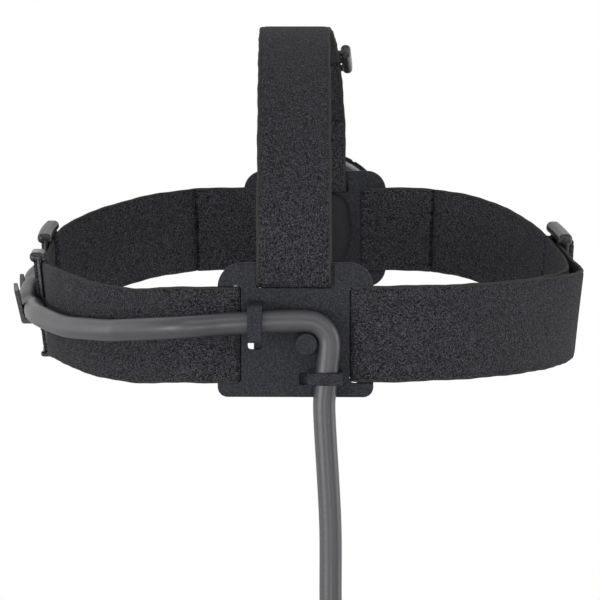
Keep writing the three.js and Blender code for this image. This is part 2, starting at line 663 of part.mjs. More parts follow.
// ---------------------------------------------------------------- lamp
// Drawn about its pivot, y positive towards the forehead.
const fins = () => {
  const points = [];
  for (let i = 0; i < fin.count; i += 1) {
    const y = lamp.rear - 1.5 - fin.width - i * fin.pitch;
    points.push([lamp.radius, y + fin.width / 2], [lamp.radius - fin.depth, y + fin.width / 2 - 0.2],
      [lamp.radius - fin.depth, y - fin.pitch + fin.width * 1.5 + 0.2],
      [lamp.radius, y - fin.pitch + fin.width * 1.5]);
  }
  return points;
};
const housingSolid = () => {
  const body = turned('y', [
    [0, lamp.rear], [lamp.radius - 2.5, lamp.rear], [lamp.radius, lamp.rear - 1.2],
    ...fins(),
    [lamp.radius, -lamp.front], [lamp.mouth, -lamp.front], [lamp.mouth, -lamp.front + lamp.mouthDepth],
    [lamp.cavity, -lamp.front + lamp.mouthDepth], [lamp.cavity, lamp.rear - lamp.wall],
    [0, lamp.rear - lamp.wall],
  ].reverse(), 28);
  const crown = rod('z', button.boss, lamp.cavity - 1, button.bossTop, 20).translate(0, button.back, 0);
  const ears = rod('x', 6, -earEnd, earEnd, 20);
  const nose = rod('x', 6.2, lamp.mouth + 0.6, lamp.radius + 0.6, 16).translate(0, gland.back, 0);
  const inside = rod('y', lamp.cavity, -lamp.front + 2, lamp.rear - lamp.wall, 28);
  const buttonHole = rod('z', button.radius + GAP, 5, button.bossTop + 1, 20).translate(0, button.back, 0);
  const pivotHoles = [1, -1].map((side) => rod(
    'x', pivotScrew.shankRadius + GAP,
    Math.min(side * pivotTip, side * yoke.inside), Math.max(side * pivotTip, side * yoke.inside), 12));
  const cordHole = rod('x', gland.radius - 1 + GAP, 10, yoke.inside, 24).translate(0, gland.back, 0);
  return cut(cut(join(body, crown, ears, nose), inside), buttonHole, ...pivotHoles, cordHole);
};

// The screws end short of the cavity, and their holes a little deeper.
const pivotReach = yoke.thickness + washer.thickness + 2 * GAP + pivotScrew.grip;
const pivotTip = yoke.inside / 2 + yoke.thickness - pivotReach;
const bezelY = -lamp.front - GAP;
const lensBack = -lamp.front + 0.6;
const bezelSolid = () => {
  const front = bezelY - bezelRing.thickness;
  const steps = 16;
  const ring = turned('y', [
    [bezelRing.inner, front + 1], [bezelRing.inner + 1, front], [bezelRing.outer - 0.8, front],
    [bezelRing.outer, front + 0.8], [bezelRing.outer, bezelY], [glass.radius + GAP, bezelY],
    [glass.radius + GAP, lensBack - glass.thickness - GAP],
    [bezelRing.inner, lensBack - glass.thickness - GAP],
  ], 36);
  const grips = Array.from({ length: steps / 2 }, (_, i) => rod('y', 1.1, front - 1, bezelY + 1, 6)
    .translate(bezelRing.outer + 0.5, 0, 0).rotateY((i * 4 * Math.PI) / steps));
  return cut(ring, ...grips);
};

const sealBack = lensBack + GAP + seal.thickness;
const reflectorBack = -3;
const reflectorSolid = () => {
  const outer = lamp.cavity - GAP;
  const front = sealBack + GAP;
  const dish = [];
  const bowl = 5;
  for (let i = 0; i <= bowl; i += 1) {
    const t = i / bowl;
    dish.push([3.4 + (outer - 1.2 - 3.4) * t, reflectorBack - (reflectorBack - front) * t * t]);
  }
  return turned('y', [
    [outer, front], [outer, front + 2], [5.4, reflectorBack], [3.4, reflectorBack],
    ...dish.slice(1),
  ].reverse(), 24);
};

const boardY = reflectorBack + GAP;
const boardThickness = 1.6;
const ledSolid = () => turned('y', [
  [0, reflectorBack - 1.6], [1.4, reflectorBack - 1.2], [2, reflectorBack - 0.2], [2.8, reflectorBack - 0.2],
  [2.8, boardY - GAP + GAP / 2], [0, boardY - GAP + GAP / 2]].reverse(), 20);
const driverY = lamp.rear - lamp.wall - GAP - 1.6;

const buttonSolid = () => turned('z', [
  [0, button.bottom], [button.flange, button.bottom], [button.flange, button.bottom + button.flangeThickness],
  [button.radius, button.bottom + button.flangeThickness], [button.radius, button.top - 0.9],
  [button.radius - 0.9, button.top], [button.radius - 1.8, button.top], [0, button.top - 0.7]], 20)
  .translate(0, button.back, 0);

const glandSeat = lamp.radius + 0.6;
const nutSolid = () => {
  const hex = alongAxis.x(new THREE.CylinderGeometry(gland.nutRadius, gland.nutRadius, gland.nutLength, 6)
    .translate(0, glandSeat + GAP + gland.nutLength / 2, 0));
  const thread = rod('x', gland.radius - 1, glandSeat - gland.thread, glandSeat + GAP + 1, 20);
  const bore = rod('x', gland.bore, glandSeat - gland.thread - 1, glandSeat + gland.nutLength + 2, 20);
  return cut(join(hex, thread), bore).translate(0, gland.back, 0);
};
const bootStart = glandSeat + GAP + gland.nutLength + GAP;
const bootEnd = bootStart + boot.length;
// A boot tapers in rings, and its end is closed by the lead inside it.
const bootSolid = (axis, start, length, wide, narrow) => {
  const rings = 3;
  const profile = [[0, start], [wide, start]];
  for (let i = 0; i < rings; i += 1) {
    const near = start + (length * (i + 0.55)) / rings;
    const radius = wide + ((narrow - wide) * (i + 0.5)) / rings;
    profile.push([radius, near], [radius - 0.6, near + 0.3],
      [radius - 0.6, near + length * 0.2 / rings + 0.2],
      [radius - 0.1, near + length * 0.2 / rings + 0.5]);
  }
  profile.push([narrow, start + length], [0, start + length]);
  return turned(axis, profile, 12);
};

// ---------------------------------------------------------------- the lead
// A tube of the lead's section along a route, in steps short enough for its tightest bend.
const tube = (points, steps) => {
  const section = new THREE.Shape();
  const radius = cord.diameter / 2;
  for (let i = 0; i < cord.sides; i += 1) {
    const angle = ((i + 0.5) * 2 * Math.PI) / cord.sides;
    section[i ? 'lineTo' : 'moveTo'](radius * Math.cos(angle), radius * Math.sin(angle));
  }
  const route = new THREE.CatmullRomCurve3(points, false, 'centripetal');
  return facingOut(new THREE.ExtrudeGeometry(section, { extrudePath: route, steps }));
};

// Places that the lead passes, from the lamp to the rear plate. A held stretch stands off its strap.
const beside = (u, w, v) => {
  const frameAt = leftLine.at(u);
  return frameAt.place.clone().addScaledVector(frameAt.out, w).addScaledVector(frameAt.across, v);
};
const cordRadius = cord.diameter / 2;
const onBand = band.thickness + GAP + cordRadius;
const onBar = barBottom + buckle.barThickness + GAP + cordRadius;
const onBulge = onBar + lamination;
const hookAt = -slide.length / 2 + buckle.bar - slide.hookNeck - slide.hookWidth / 2;
const bendCentre = v3(bend.x + bend.radius, 0, bend.z - bend.radius);
const round = (angle) => v3(
  bendCentre.x + bend.radius * Math.cos(angle), cordY,
  rearPlate.z + bendCentre.z + bend.radius * Math.sin(angle));

// The held lead in the straps' own flat measures, [along, outward, across], then over the rear plate.
const leadRun = {
  temple: 37, ahead: 17, behind: 16, side: 32, flank: 78, corner: 60, leave: 44, plate: 30, near: 19 };
const onHook = [2.5, -4];
const heldOnStrap = [
  [frontU + leadRun.temple, onBand + 2.2, -0.5],
  [frontU + leadRun.temple - 7, onBand + 1.2, -0.3],
  [frontU + leadRun.ahead, onBand + 0.5, 0],
  [frontU + 6, onBulge, 0],
  [frontU - 3.6, onBulge + 0.2, 0],
  ...onHook.map((place, i) => [frontU + hookAt + place, onBar + 0.3 - i * 0.1, 0.5 + i]),
  [slideU + 13, onBar + 0.4, 3.6],
  [slideU + 6, onBulge, 2.8],
  [slideU - 3.6, onBulge + 0.2, 0.9],
  ...onHook.map((place, i) => [slideU + hookAt + place, onBar + 0.3 - i * 0.1, 0.2 - i * 0.2]),
  [slideU + hookAt - leadRun.behind, onBand + 0.4, -0.2],
  [slideU + hookAt - leadRun.side, onBand + 0.1, -0.9],
  [leadRun.flank, onBand + 0.1, -0.8],
  [leadRun.corner, onBand + 1.6, 0.8],
  [leadRun.leave, onBand + 3.4, 1.9],
];
const heldRoute = () => {
  const flat = new THREE.CatmullRomCurve3(heldOnStrap.map(([u, w, v]) => v3(u, w, v)), false, 'centripetal');
  return [
    ...flat.getSpacedPoints(48).map((point) => beside(point.x, point.y, point.z)),
    v3(leadRun.plate, cordY + 0.9, rearPlate.z + bend.z - 1.6),
    v3(leadRun.near, cordY, rearPlate.z + bend.z - 0.8),
    v3(levelHook.x, cordY, rearPlate.z + bend.z - 0.3),
    v3(4, cordY, rearPlate.z + bend.z),
    ...[90, 112, 135, 158, 180].map((degrees) => round(THREE.MathUtils.degToRad(degrees))),
    v3((bend.x + bend.low) / 2, cordY, rearPlate.z + lowHook.z + 3),
    v3(bend.low, cordY, rearPlate.z + lowHook.z - lowHook.width / 2 - 1.5),
  ];
};
const heldPoints = heldRoute();
const heldStart = heldPoints[0];
const heldEnd = heldPoints[heldPoints.length - 1];

// The coil hangs under the rear plate. Its angle runs clockwise as seen from behind the wearer.
const coilCentre = v3(bend.low + coil.aside, cordY, coil.drop);
const outermost = coil.radius + coil.pitch * coil.turns / 2;
const entryAngle = THREE.MathUtils.degToRad(coil.entry);
const wholeTurns = 2 * coil.turns + coil.entry / 360;
const coilPoint = (turn) => {
  const inward = Math.min(turn, 2 * coil.turns - turn);
  const half = coil.turns - 0.25;
  const climb = smooth((turn - half) / 0.5);
  const rounded = turn > half && turn < half + 0.5
    ? half + (0.25 - (2 * (turn - coil.turns)) ** 2 * 0.25) * 0.5 : inward;
  const radius = outermost - coil.pitch * rounded;
  const angle = entryAngle - turn * 2 * Math.PI;
  return v3(
    coilCentre.x - radius * Math.cos(angle), coilCentre.y - coil.layer * climb,
    coilCentre.z + radius * Math.sin(angle));
};
const coilRoute = () => {
  const count = Math.round(wholeTurns * coil.steps);
  const turns = Array.from({ length: count + 1 }, (_, i) => coilPoint((i * wholeTurns) / count));
  const lead = v3(Math.sin(entryAngle), 0, Math.cos(entryAngle));
  const tail = v3(0, 0, -1);
  return [
    turns[0].clone().addScaledVector(lead, cord.diameter),
    ...turns,
    turns[count].clone().addScaledVector(tail, cord.diameter * 1.6),
  ];
};

// One unbroken tube through chosen points, with its section carried along without twist.
const woundTube = (points, sides, radius) => {
  const rings = [];
  let side = v3(0, 1, 0);
  points.forEach((point, i) => {
    const before = points[Math.max(i - 1, 0)];
    const after = points[Math.min(i + 1, points.length - 1)];
    const along = after.clone().sub(before).normalize();
    side = side.clone().addScaledVector(along, -side.dot(along)).normalize();
    const other = v3(0, 0, 0).crossVectors(along, side);
    rings.push(Array.from({ length: sides }, (_, j) => {
      const angle = ((j + 0.5) * 2 * Math.PI) / sides;
      return point.clone()
        .addScaledVector(side, radius * Math.cos(angle))
        .addScaledVector(other, radius * Math.sin(angle)).toArray();
    }));
  });
  return facingOut(prism(rings));
};

const leastSelfGap = (points) => {
  let least = Infinity;
  points.forEach((a, i) => points.slice(i + coil.steps / 2).forEach((b) => {
    least = Math.min(least, a.distanceTo(b) - cord.diameter);
  }));
  return least;
};

const coilPoints = coilRoute();
console.log(`least gap of the coil to itself: ${leastSelfGap(coilPoints).toFixed(2)} mm`);
const entry = coilPoints[0];
const entryHeading = v3(-Math.sin(entryAngle), 0, -Math.cos(entryAngle));
const dropRoute = () => {
  const end = entry.clone().addScaledVector(entryHeading, -GAP);
  const start = heldEnd.clone().add(v3(0, 0, -GAP));
  const straight = end.clone().addScaledVector(entryHeading, -cord.diameter);
  const middle = v3(
    straight.x - coil.bend * Math.cos(entryAngle), cordY, straight.z + coil.bend * Math.sin(entryAngle));
  const arc = [0, 0.25, 0.5, 0.75].map((share) => v3(
    middle.x + coil.bend * Math.cos(entryAngle * share), cordY,
    middle.z - coil.bend * Math.sin(entryAngle * share)));
  const high = start.clone().lerp(arc[0], 0.15).setX(start.x);
  return [start, high, start.clone().lerp(arc[0], 0.6), ...arc, straight, end];
};

// The strap that ties the coil: a flat closed loop round its bundle.
const tieSolid = () => {
  const angle = THREE.MathUtils.degToRad(tie.angle);
  const clear = 0.9;
  const across = coil.pitch * (coil.turns - 0.5) + cord.diameter + 2 * clear + 3.4;
  const deep = coil.layer + cord.diameter + 2 * clear;
  const outer = plateShape(across + 2 * tie.thickness, deep + 2 * tie.thickness, 4, 4);
  outer.holes.push(plateShape(across, deep, 3, 3));
  const loop = new THREE.ExtrudeGeometry(outer, { depth: tie.width, bevelEnabled: false, curveSegments: 4 })
    .translate(0, 0, -tie.width / 2);
  const radial = v3(-Math.cos(angle), 0, Math.sin(angle));
  const along = v3(Math.sin(angle), 0, Math.cos(angle));
  const basis = new THREE.Matrix4().makeBasis(radial, v3(0, -1, 0), along);
  loop.applyMatrix4(basis);
  const middle = coilCentre.clone().addScaledVector(radial, coil.radius).add(v3(0, -coil.layer / 2, 0));
  return facingOut(loop.translate(middle.x, middle.y, middle.z));
};

const plugTop = coilPoints[coilPoints.length - 1];

const onPlug = (geometry, from) => geometry.translate(plugTop.x, plugTop.y, plugTop.z + from);
const plugBodySolid = () => {
  const grip = [];
  for (let i = 0; i < 3; i += 1) {
    const z = -4 - i * 3.2;
    grip.push([plug.bodyRadius, z], [plug.bodyRadius - 0.6, z - 0.4], [plug.bodyRadius - 0.6, z - 1.2],
      [plug.bodyRadius, z - 1.6]);
  }
  const rim = plug.bodyRadius - 0.8;
  return turned('z', [
    [0, 0], [rim, 0], [plug.bodyRadius, -0.8], ...grip,
    [plug.bodyRadius, -plug.bodyLength + 0.6], [plug.bodyRadius - 0.6, -plug.bodyLength],
    [plug.insertRadius + GAP, -plug.bodyLength],
    [plug.insertRadius + GAP, -plug.bodyLength + plug.insertDepth],
    [0, -plug.bodyLength + plug.insertDepth]], 18);
};
// The insert fills the mouth of the body and carries two round contacts.
const plugInsertSolid = () => {
  const core = rod('z', plug.insertRadius, -0.8, plug.insertDepth - GAP, 18);
  const pins = [1, -1].map((side) => rod('z', 0.9, -6, 1, 12).translate(side * 2.2, 0, 0));
  return join(core, ...pins);
};

const switchSolid = () => join(
  box([-tact.half, driverY - GAP - tact.reach, tact.low], [tact.half, driverY - GAP, tact.high]),
  rod('z', tact.stem, tact.high - chamfer, button.bottom - button.travel - GAP, 16).translate(0, button.back, 0));

const atPivot = (geometry) => geometry.translate(0, pivotY, frontZ);
const yokeOuter = yoke.inside / 2 + yoke.thickness;
const earEnd = yoke.inside / 2 - washer.thickness - 2 * GAP;

const loopOut = 21.5;
const loopReach = 42;
const lampLoopRoute = () => {
  const y = pivotY + gland.back;
  const on = heldPoints[1].clone().sub(heldStart).normalize();
  const meet = heldStart.clone().addScaledVector(on, -GAP);
  return [
    v3(bootEnd + GAP, y, frontZ),
    v3(bootEnd + 5, y, frontZ - 0.2),
    v3(bootEnd + loopOut * 0.7, y + 3.5, frontZ - 1.6),
    v3(bootEnd + loopOut, y + loopReach / 3, frontZ - 4),
    v3(bootEnd + loopOut - 1.5, y + loopReach * 0.69, frontZ - 5.5),
    v3(bootEnd + loopOut - 7.5, y + loopReach, frontZ - 4.6),
    meet.clone().addScaledVector(on, -12).add(v3(1, -1, -0.6)),
    meet.clone().addScaledVector(on, -5),
    meet,
  ];
};

// ---------------------------------------------------------------- assembly
const group = new THREE.Group();
const add = (name, geometry, material) => {
  const mesh = new THREE.Mesh(geometry, material);
  mesh.name = name;
  group.add(mesh);
  return mesh;
};

// Harness
add('rear_plate', atRear(rearPlateSolid(), rearPlate.z), moulded);
add('left_band', facingOut(lay(leftBand(), leftLine)), elastic);
add('right_band', facingOut(lay(rightBand(), rightLine, -1)), elastic);
add('top_strap', facingOut(lay(topStrapSolid(), topLine)), elastic);
add('left_cable_slide', facingOut(lay(slideSolid().translate(slideU, 0, 0), leftLine)), moulded);
add('front_cable_slide', facingOut(lay(slideSolid().translate(frontU, 0, 0), leftLine)), moulded);
add('right_buckle', facingOut(lay(
  frame(buckle.length, doubledBar, band.width).translate(rightU, 0, 0), rightLine, -1)), moulded);
add('top_buckle', facingOut(lay(
  frame(slide.length, barBottom, crownStrap.width).translate(topU, 0, 0), topLine)), moulded);

// Front plate and bracket
add('front_plate', atFront(frontPlateSolid(), frontZ), moulded);
add('forehead_pad', atFront(padSolid(), frontZ), foam);
add('yoke', atFront(yokeSolid(), frontZ), anodised);
[['upper', 1], ['lower', -1]].forEach(([place, side]) => {
  const screw = socketHead('z', yokeScrew.headRadius, yokeScrew.headLength, yokeScrew.shankRadius,
    yokeScrew.reach).translate(0, side * yokeScrew.spacing, yokeFace + GAP);
  add(`yoke_screw_${place}`, atFront(screw, frontZ), steel);
});
[['left', 1], ['right', -1]].forEach(([place, side]) => {
  const screw = socketHead('x', pivotScrew.headRadius, pivotScrew.headLength, pivotScrew.shankRadius,
    pivotReach).translate(yokeOuter + GAP, 0, 0);
  const disc = cut(
    rod('x', washer.outer, earEnd + GAP, earEnd + GAP + washer.thickness, 20),
    rod('x', washer.inner, 0, yokeOuter, 20));
  const turn = (geometry) => (side > 0 ? geometry : geometry.rotateZ(Math.PI));
  add(`pivot_screw_${place}`, atPivot(turn(screw)), steel);
  add(`pivot_washer_${place}`, atPivot(turn(disc)), steel);
});

// Lamp
add('lamp_housing', atPivot(housingSolid()), anodised);
add('bezel', atPivot(bezelSolid()), anodised);
add('lens', atPivot(rod('y', glass.radius, lensBack - glass.thickness, lensBack, 36)), clear);
add('lens_gasket', atPivot(turned('y', [
  [seal.inner, lensBack + GAP], [seal.outer, lensBack + GAP],
  [seal.outer, sealBack], [seal.inner, sealBack]], 28)), foam);
add('reflector', atPivot(reflectorSolid()), mirror);
add('led_board', atPivot(rod('y', lamp.cavity - GAP, boardY, boardY + boardThickness, 24)), board);
add('led', atPivot(ledSolid()), phosphor);
add('driver_board', atPivot(rod('y', lamp.cavity - GAP, driverY, driverY + boardThickness, 24)), circuit);
add('tact_switch', atPivot(switchSolid()), steel);
add('power_button', atPivot(buttonSolid()), rubber);
add('gland_nut', atPivot(nutSolid()), anodised);
add('gland_boot', atPivot(bootSolid('x', bootStart, boot.length, boot.wide, boot.narrow)
  .translate(0, gland.back, 0)), rubber);

// Lead
add('cable_lamp_loop', tube(lampLoopRoute(), 24), rubber);
add('cable_side_run', tube(heldPoints, 84), rubber);
add('cable_drop', tube(dropRoute(), 20), rubber);
add('cable_coil', woundTube(coilPoints, coil.sides, cord.diameter / 2), rubber);
add('coil_tie', tieSolid(), elastic);
const plugBoot = bootSolid('z', -plug.bootLength, plug.bootLength, plug.bootWide, boot.narrow);
add('plug_boot', onPlug(plugBoot, -GAP), rubber);
add('plug_body', onPlug(plugBodySolid(), -GAP - plug.bootLength - GAP), moulded);
add('plug_insert', onPlug(plugInsertSolid(), -GAP - plug.bootLength - GAP - plug.bodyLength), gilt);

export default group;
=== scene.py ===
"""Finish of the head-harness lamp: fabric, cords, moulded and turned pieces, light and camera.

Pieces are drawn in millimetres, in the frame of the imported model, and stored in metres.
"""
from bisect import bisect
from math import acos, cos, hypot, pi, radians, sin, sqrt, tan
from types import SimpleNamespace as Sizes

import bmesh
import bpy
from mathutils import Matrix, Vector


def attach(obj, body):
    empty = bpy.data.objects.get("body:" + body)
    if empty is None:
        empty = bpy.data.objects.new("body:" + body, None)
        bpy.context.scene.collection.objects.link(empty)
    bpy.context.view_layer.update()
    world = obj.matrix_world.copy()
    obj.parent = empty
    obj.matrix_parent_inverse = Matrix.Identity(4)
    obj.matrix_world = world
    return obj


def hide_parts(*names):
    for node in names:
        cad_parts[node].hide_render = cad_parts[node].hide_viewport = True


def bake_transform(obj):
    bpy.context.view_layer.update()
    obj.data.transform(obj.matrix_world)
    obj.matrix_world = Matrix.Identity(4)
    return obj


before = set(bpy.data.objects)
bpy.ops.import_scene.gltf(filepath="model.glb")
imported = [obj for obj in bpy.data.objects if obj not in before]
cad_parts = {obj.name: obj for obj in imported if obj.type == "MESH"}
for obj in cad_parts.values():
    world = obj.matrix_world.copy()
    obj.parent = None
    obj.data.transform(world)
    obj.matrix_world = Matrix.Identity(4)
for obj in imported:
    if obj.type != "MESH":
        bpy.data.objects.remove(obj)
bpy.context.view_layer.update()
MM = 0.001
GAP = 0.3

# ---------- sizes of the model
# The loop of bands round the head, the rise of the bands to the forehead, and the crown's height.
HALF_WIDTH, HALF_LENGTH, RISE, CROWN = 74.4, 96.0, 18.0, 82.2
# Webbing: WOVEN is the side bands' width over their corded edges, and TAIL the length of a hem.
BAND, WOVEN, STRAP, THICK, TAIL = 25.0, 25.6, 20.0, 1.3, 22.0
LAYER = THICK + GAP
# Plates, with the radii of their upper and lower corners, and the slots that both share.
REAR = Sizes(width=41.4, height=35.8, thickness=2.0, z=0.8, top=6.5, low=2.7)
FRONT = Sizes(width=44.0, height=36.0, thickness=2.4, z=18.0, top=6.0, low=6.0)
SLOT = Sizes(inner=14.4, width=2.6, height=25.9, z=-0.4, top=21.0, drop=4.2, recess=0.8, corner=1.25)
STAND = Sizes(width=22, height=20, corner=3, reach=2.4)
# The rear plate's holders of the lead: a hook over the level lead, one over the falling lead, and a post.
HOOK_WALL = 1.3
LEVEL_HOOK = Sizes(x=10.5, width=3.9, top=7.9, tip=-2.9)
LOW_HOOK = Sizes(z=-12.5, width=3.3, root=-12.7, tip=-3.4)
POST = Sizes(x=-3.1, z=-3.4, radius=3.0, height=5.6)
# Slides and buckles: lengths along the strap, their bars, and how far the left slide leans.
SLIDE, BUCKLE, BAR, BAR_THICK = 15.0, 17.0, 3.0, 1.2
SLIDE_LEAN = 0.115
# Where the slides and buckles sit: how far forward of the ears (negative Y).
SLIDE_Y, FRONT_SLIDE_Y, BUCKLE_Y, TOP_BUCKLE_Y = -2, -36, -36, -64
# The lead: its size, the size that its jacket is drawn with, and its bend round the post.
CORD, JACKET = 5.7, 5.95
BEND = Sizes(x=-3.1, z=-2.6, radius=6.0)
COIL = Sizes(radius=31.6, turns=2, pitch=6.6, layer=6.6, entry=radians(50), bend=25)
TIE_SIZE = Sizes(thickness=0.9, width=12, angle=radians(100), corner=3.6, play=1.8)
# The yoke and its screws.
YOKE = Sizes(thick=2.4, height=12, inside=23.2, reach=27.5, bend=4)
YOKE_SCREW = Sizes(head=2.6, length=1.5, shank=1.3, hole=1.6, spacing=3.4, reach=6)
PIVOT_SCREW = Sizes(head=4.4, length=3.2, shank=2, hole=2.3, grip=5)
DISC = Sizes(outer=5, thickness=0.6)
# The lamp, measured from its pivot: it looks along -Y.
PIVOT = Vector((0, -132.6, 18))
LAMP = Sizes(radius=21, rear=16, front=20, cavity=15.5, floor=13, mouth=17.6, seat=17.8)
FIN = Sizes(count=4, pitch=3.4, depth=2.4, width=1.6)
RING = Sizes(outer=22.2, inner=15.6, front=23.5, grips=24, grip=0.8)
GLASS = Sizes(radius=17.2, front=21.4, thickness=2)
BUTTON = Sizes(y=5, boss=7, boss_top=22.6, bore=5.2, radius=4.9, top=24.2, bottom=12.8, flange=5.5)
GLAND = Sizes(y=-13.5, nose=6.2, end=21.6, bore=3.7, thread=3.4, nut=5.6, length=6, lead=2.4)
BOOT = Sizes(length=13, wide=4.3, narrow=3.4)
PLUG_SIZE = Sizes(boot=16, wide=4.8, radius=6.4, length=20, insert=4.6, depth=5, pin=0.9)


# ---------- lines
def smooth(t):
    t = min(max(t, 0.0), 1.0)
    return t * t * (3 - 2 * t)


def bezier(a, b, c, d, steps=400):
    return [a * (1 - t) ** 3 + b * 3 * t * (1 - t) ** 2 + c * 3 * t * t * (1 - t) + d * t ** 3
            for t in (i / steps for i in range(steps + 1))]


def round_angles(count):
    return [2 * pi * j / count for j in range(count)]


def arc(cx, cy, r, start, end, steps=10):
    """Points on part of a circle, between two angles in degrees."""
    return [(cx + r * cos(a), cy + r * sin(a))
            for a in (radians(start + (end - start) * j / steps) for j in range(steps + 1))]


def resample(points, count):
    """Points at equal lengths along a fine polyline."""
    lengths = [0.0]
    for a, b in zip(points, points[1:]):
        lengths.append(lengths[-1] + (b - a).length)
    out, j = [], 0
    for i in range(count + 1):
        want = lengths[-1] * i / count
        while j < len(points) - 2 and lengths[j + 1] < want:
            j += 1
        share = (want - lengths[j]) / max(lengths[j + 1] - lengths[j], 1e-9)
        out.append(points[j].lerp(points[j + 1], min(max(share, 0.0), 1.0)))
    return out


def spline(points, steps):
    """A centripetal Catmull-Rom curve through the points, as a fine polyline."""
    ends = [points[0] * 2 - points[1]] + list(points) + [points[-1] * 2 - points[-2]]
    out = []
    for i in range(len(points) - 1):
        p0, p1, p2, p3 = ends[i:i + 4]
        d1 = (p2 - p1).length ** 0.5
        d0 = (p1 - p0).length ** 0.5 or d1
        d2 = (p3 - p2).length ** 0.5 or d1
        t1 = ((p1 - p0) / d0 - (p2 - p0) / (d0 + d1) + (p2 - p1) / d1) * d1
        t2 = ((p2 - p1) / d1 - (p3 - p1) / (d1 + d2) + (p3 - p2) / d2) * d1
        for j in range(steps):
            t = j / steps
            out.append(p1 + t1 * t + (-3 * p1 + 3 * p2 - 2 * t1 - t2) * t ** 2
                       + (2 * p1 - 2 * p2 + t1 + t2) * t ** 3)
    return out + [points[-1].copy()]


class Line:
    """A strap line: u runs along it, v across the strap, and w stands off it."""

    def __init__(self, points, outward):
        self.points, self.outward, self.lengths = points, outward, [0.0]
        for a, b in zip(points, points[1:]):
            self.lengths.append(self.lengths[-1] + (b - a).length)
        self.length = self.lengths[-1]

    def at(self, u):
        i = min(max(bisect(self.lengths, u) - 1, 0), len(self.points) - 2)
        a, b = self.points[i], self.points[i + 1]
        share = (u - self.lengths[i]) / (self.lengths[i + 1] - self.lengths[i])
        before, after = self.points[max(i - 1, 0)], self.points[min(i + 2, len(self.points) - 1)]
        along = (b - before).normalized().lerp((after - a).normalized(), share).normalized()
        return a + (b - a) * share, *self.outward(along)

    def put(self, u, v, w, side=1):
        place, out, across = self.at(u)
        point = place + across * v + out * w
        return Vector((point.x * side, point.y, point.z))

    def find(self, y):
        return next(length for point, length in zip(self.points, self.lengths) if point.y <= y)


# Heights of each side band's middle: share of the way from rear to front, and height.
LEFT_HEIGHTS = [
    (0, -0.6), (0.026, -1.2), (0.057, -1.8), (0.104, -1.4), (0.156, -0.6), (0.214, 0.6), (0.281, 1.3),
    (0.37, 1.1), (0.474, 0.4), (0.552, 1.0), (0.63, 3.5), (0.708, 7.4), (0.812, 12.6), (0.917, 16.8),
    (1, RISE)]
RIGHT_HEIGHTS = [
    (0, -0.3), (0.057, -0.5), (0.188, -0.6), (0.344, -0.5), (0.474, -0.2), (0.604, 2.4), (0.708, 6.6),
    (0.812, 11.8), (0.917, 16.4), (1, RISE)]


def height_along(table, share):
    """A smooth rise through places and heights, level at both ends."""
    last = len(table) - 1
    share = min(max(share, 0), 1)
    i = next((j for j in range(last) if table[j + 1][0] > share), last - 1)

    def slope(j):
        if j in (0, last):
            return 0
        return (table[j + 1][1] - table[j - 1][1]) / (table[j + 1][0] - table[j - 1][0])
    (x0, z0), (x1, z1) = table[i], table[i + 1]
    width = x1 - x0
    t = (share - x0) / width
    return (z0 * (1 + 2 * t) * (1 - t) ** 2 + slope(i) * width * t * (1 - t) ** 2
            + z1 * t * t * (3 - 2 * t) + slope(i + 1) * width * t * t * (t - 1))


def side_frame(along):
    out = Vector((-along.y, along.x, 0)).normalized()
    return out, along.cross(out)


def top_frame(along):
    return Vector((0, along.z, -along.y)).normalized(), Vector((-1, 0, 0))


# The left band leaves the shared plan in two waves, in at the ear and out at the temple: each wave's rise
# and rear end, and the length of both.
LEFT_WAVES, WAVE_LENGTH = ((-1.4, 50), (5, -2)), 84


def left_swell(y):
    return sum(rise * sin(pi * min(max((rear - y) / WAVE_LENGTH, 0), 1)) ** 2 for rise, rear in LEFT_WAVES)


def plan_points(heights, swell):
    """A band's line: flat behind each plate, and round the side of the head between them."""
    def p(x, y):
        return Vector((x, y, 0))
    w, h, flat, corner, rear, temple = HALF_WIDTH, HALF_LENGTH, 22, 38, 64, -61
    fine = [p(0, h)] + bezier(p(flat, h), p(corner, h), p(w, rear), p(w, 0))
    fine += bezier(p(w, 0), p(w, temple), p(corner, -h), p(flat, -h))[1:] + [p(0, -h)]
    return [Vector((q.x + swell(q.y), q.y, height_along(heights, (h - q.y) / (2 * h))))
            for q in resample(fine, 600)]


REAR_TOP = REAR.z + REAR.height / 2
FRONT_TOP = FRONT.z + FRONT.height / 2
BELOW_SLOT = 4
CROWN_START = REAR_TOP - SLOT.drop - BELOW_SLOT
CROWN_END = FRONT_TOP - SLOT.drop - BELOW_SLOT


def crown_points():
    """The top strap's line: from the rear plate over the crown, with a slight lean, to the front plate."""
    def p(y, z):
        return Vector((0, y, z))
    h, top, aside, lean, soft = HALF_LENGTH, CROWN - 2.5, 0.4, 3.1, 0.02
    fine = [p(h, CROWN_START)] + bezier(p(h, REAR_TOP + 2), p(h, REAR_TOP + 34), p(48, top), p(0, top))
    fine += bezier(p(0, top), p(-48, top), p(-h, FRONT_TOP + 26), p(-h, FRONT_TOP + 2))[1:]
    line = resample(fine + [p(-h, CROWN_END)], 400)
    for q in line:
        q.x = aside + lean * (1 - sqrt((q.y / h) ** 2 + soft) / sqrt(1 + soft))
    return line


left_line = Line(plan_points(LEFT_HEIGHTS, left_swell), side_frame)
right_line = Line(plan_points(RIGHT_HEIGHTS, lambda y: 0), side_frame)
top_line = Line(crown_points(), top_frame)
slide_u, front_u = left_line.find(SLIDE_Y), left_line.find(FRONT_SLIDE_Y)
right_u, crown_u = right_line.find(BUCKLE_Y), top_line.find(TOP_BUCKLE_Y)


# ---------- meshes
def to_mesh(name, points, faces, uv=None):
    mesh = bpy.data.meshes.new(name)
    mesh.from_pydata([tuple(p * MM for p in point) for point in points], [], faces)
    mesh.update()
    if uv:
        layer = mesh.uv_layers.new(name="weave")
        for loop in mesh.loops:
            layer.data[loop.index].uv = uv[loop.vertex_index]
    return mesh


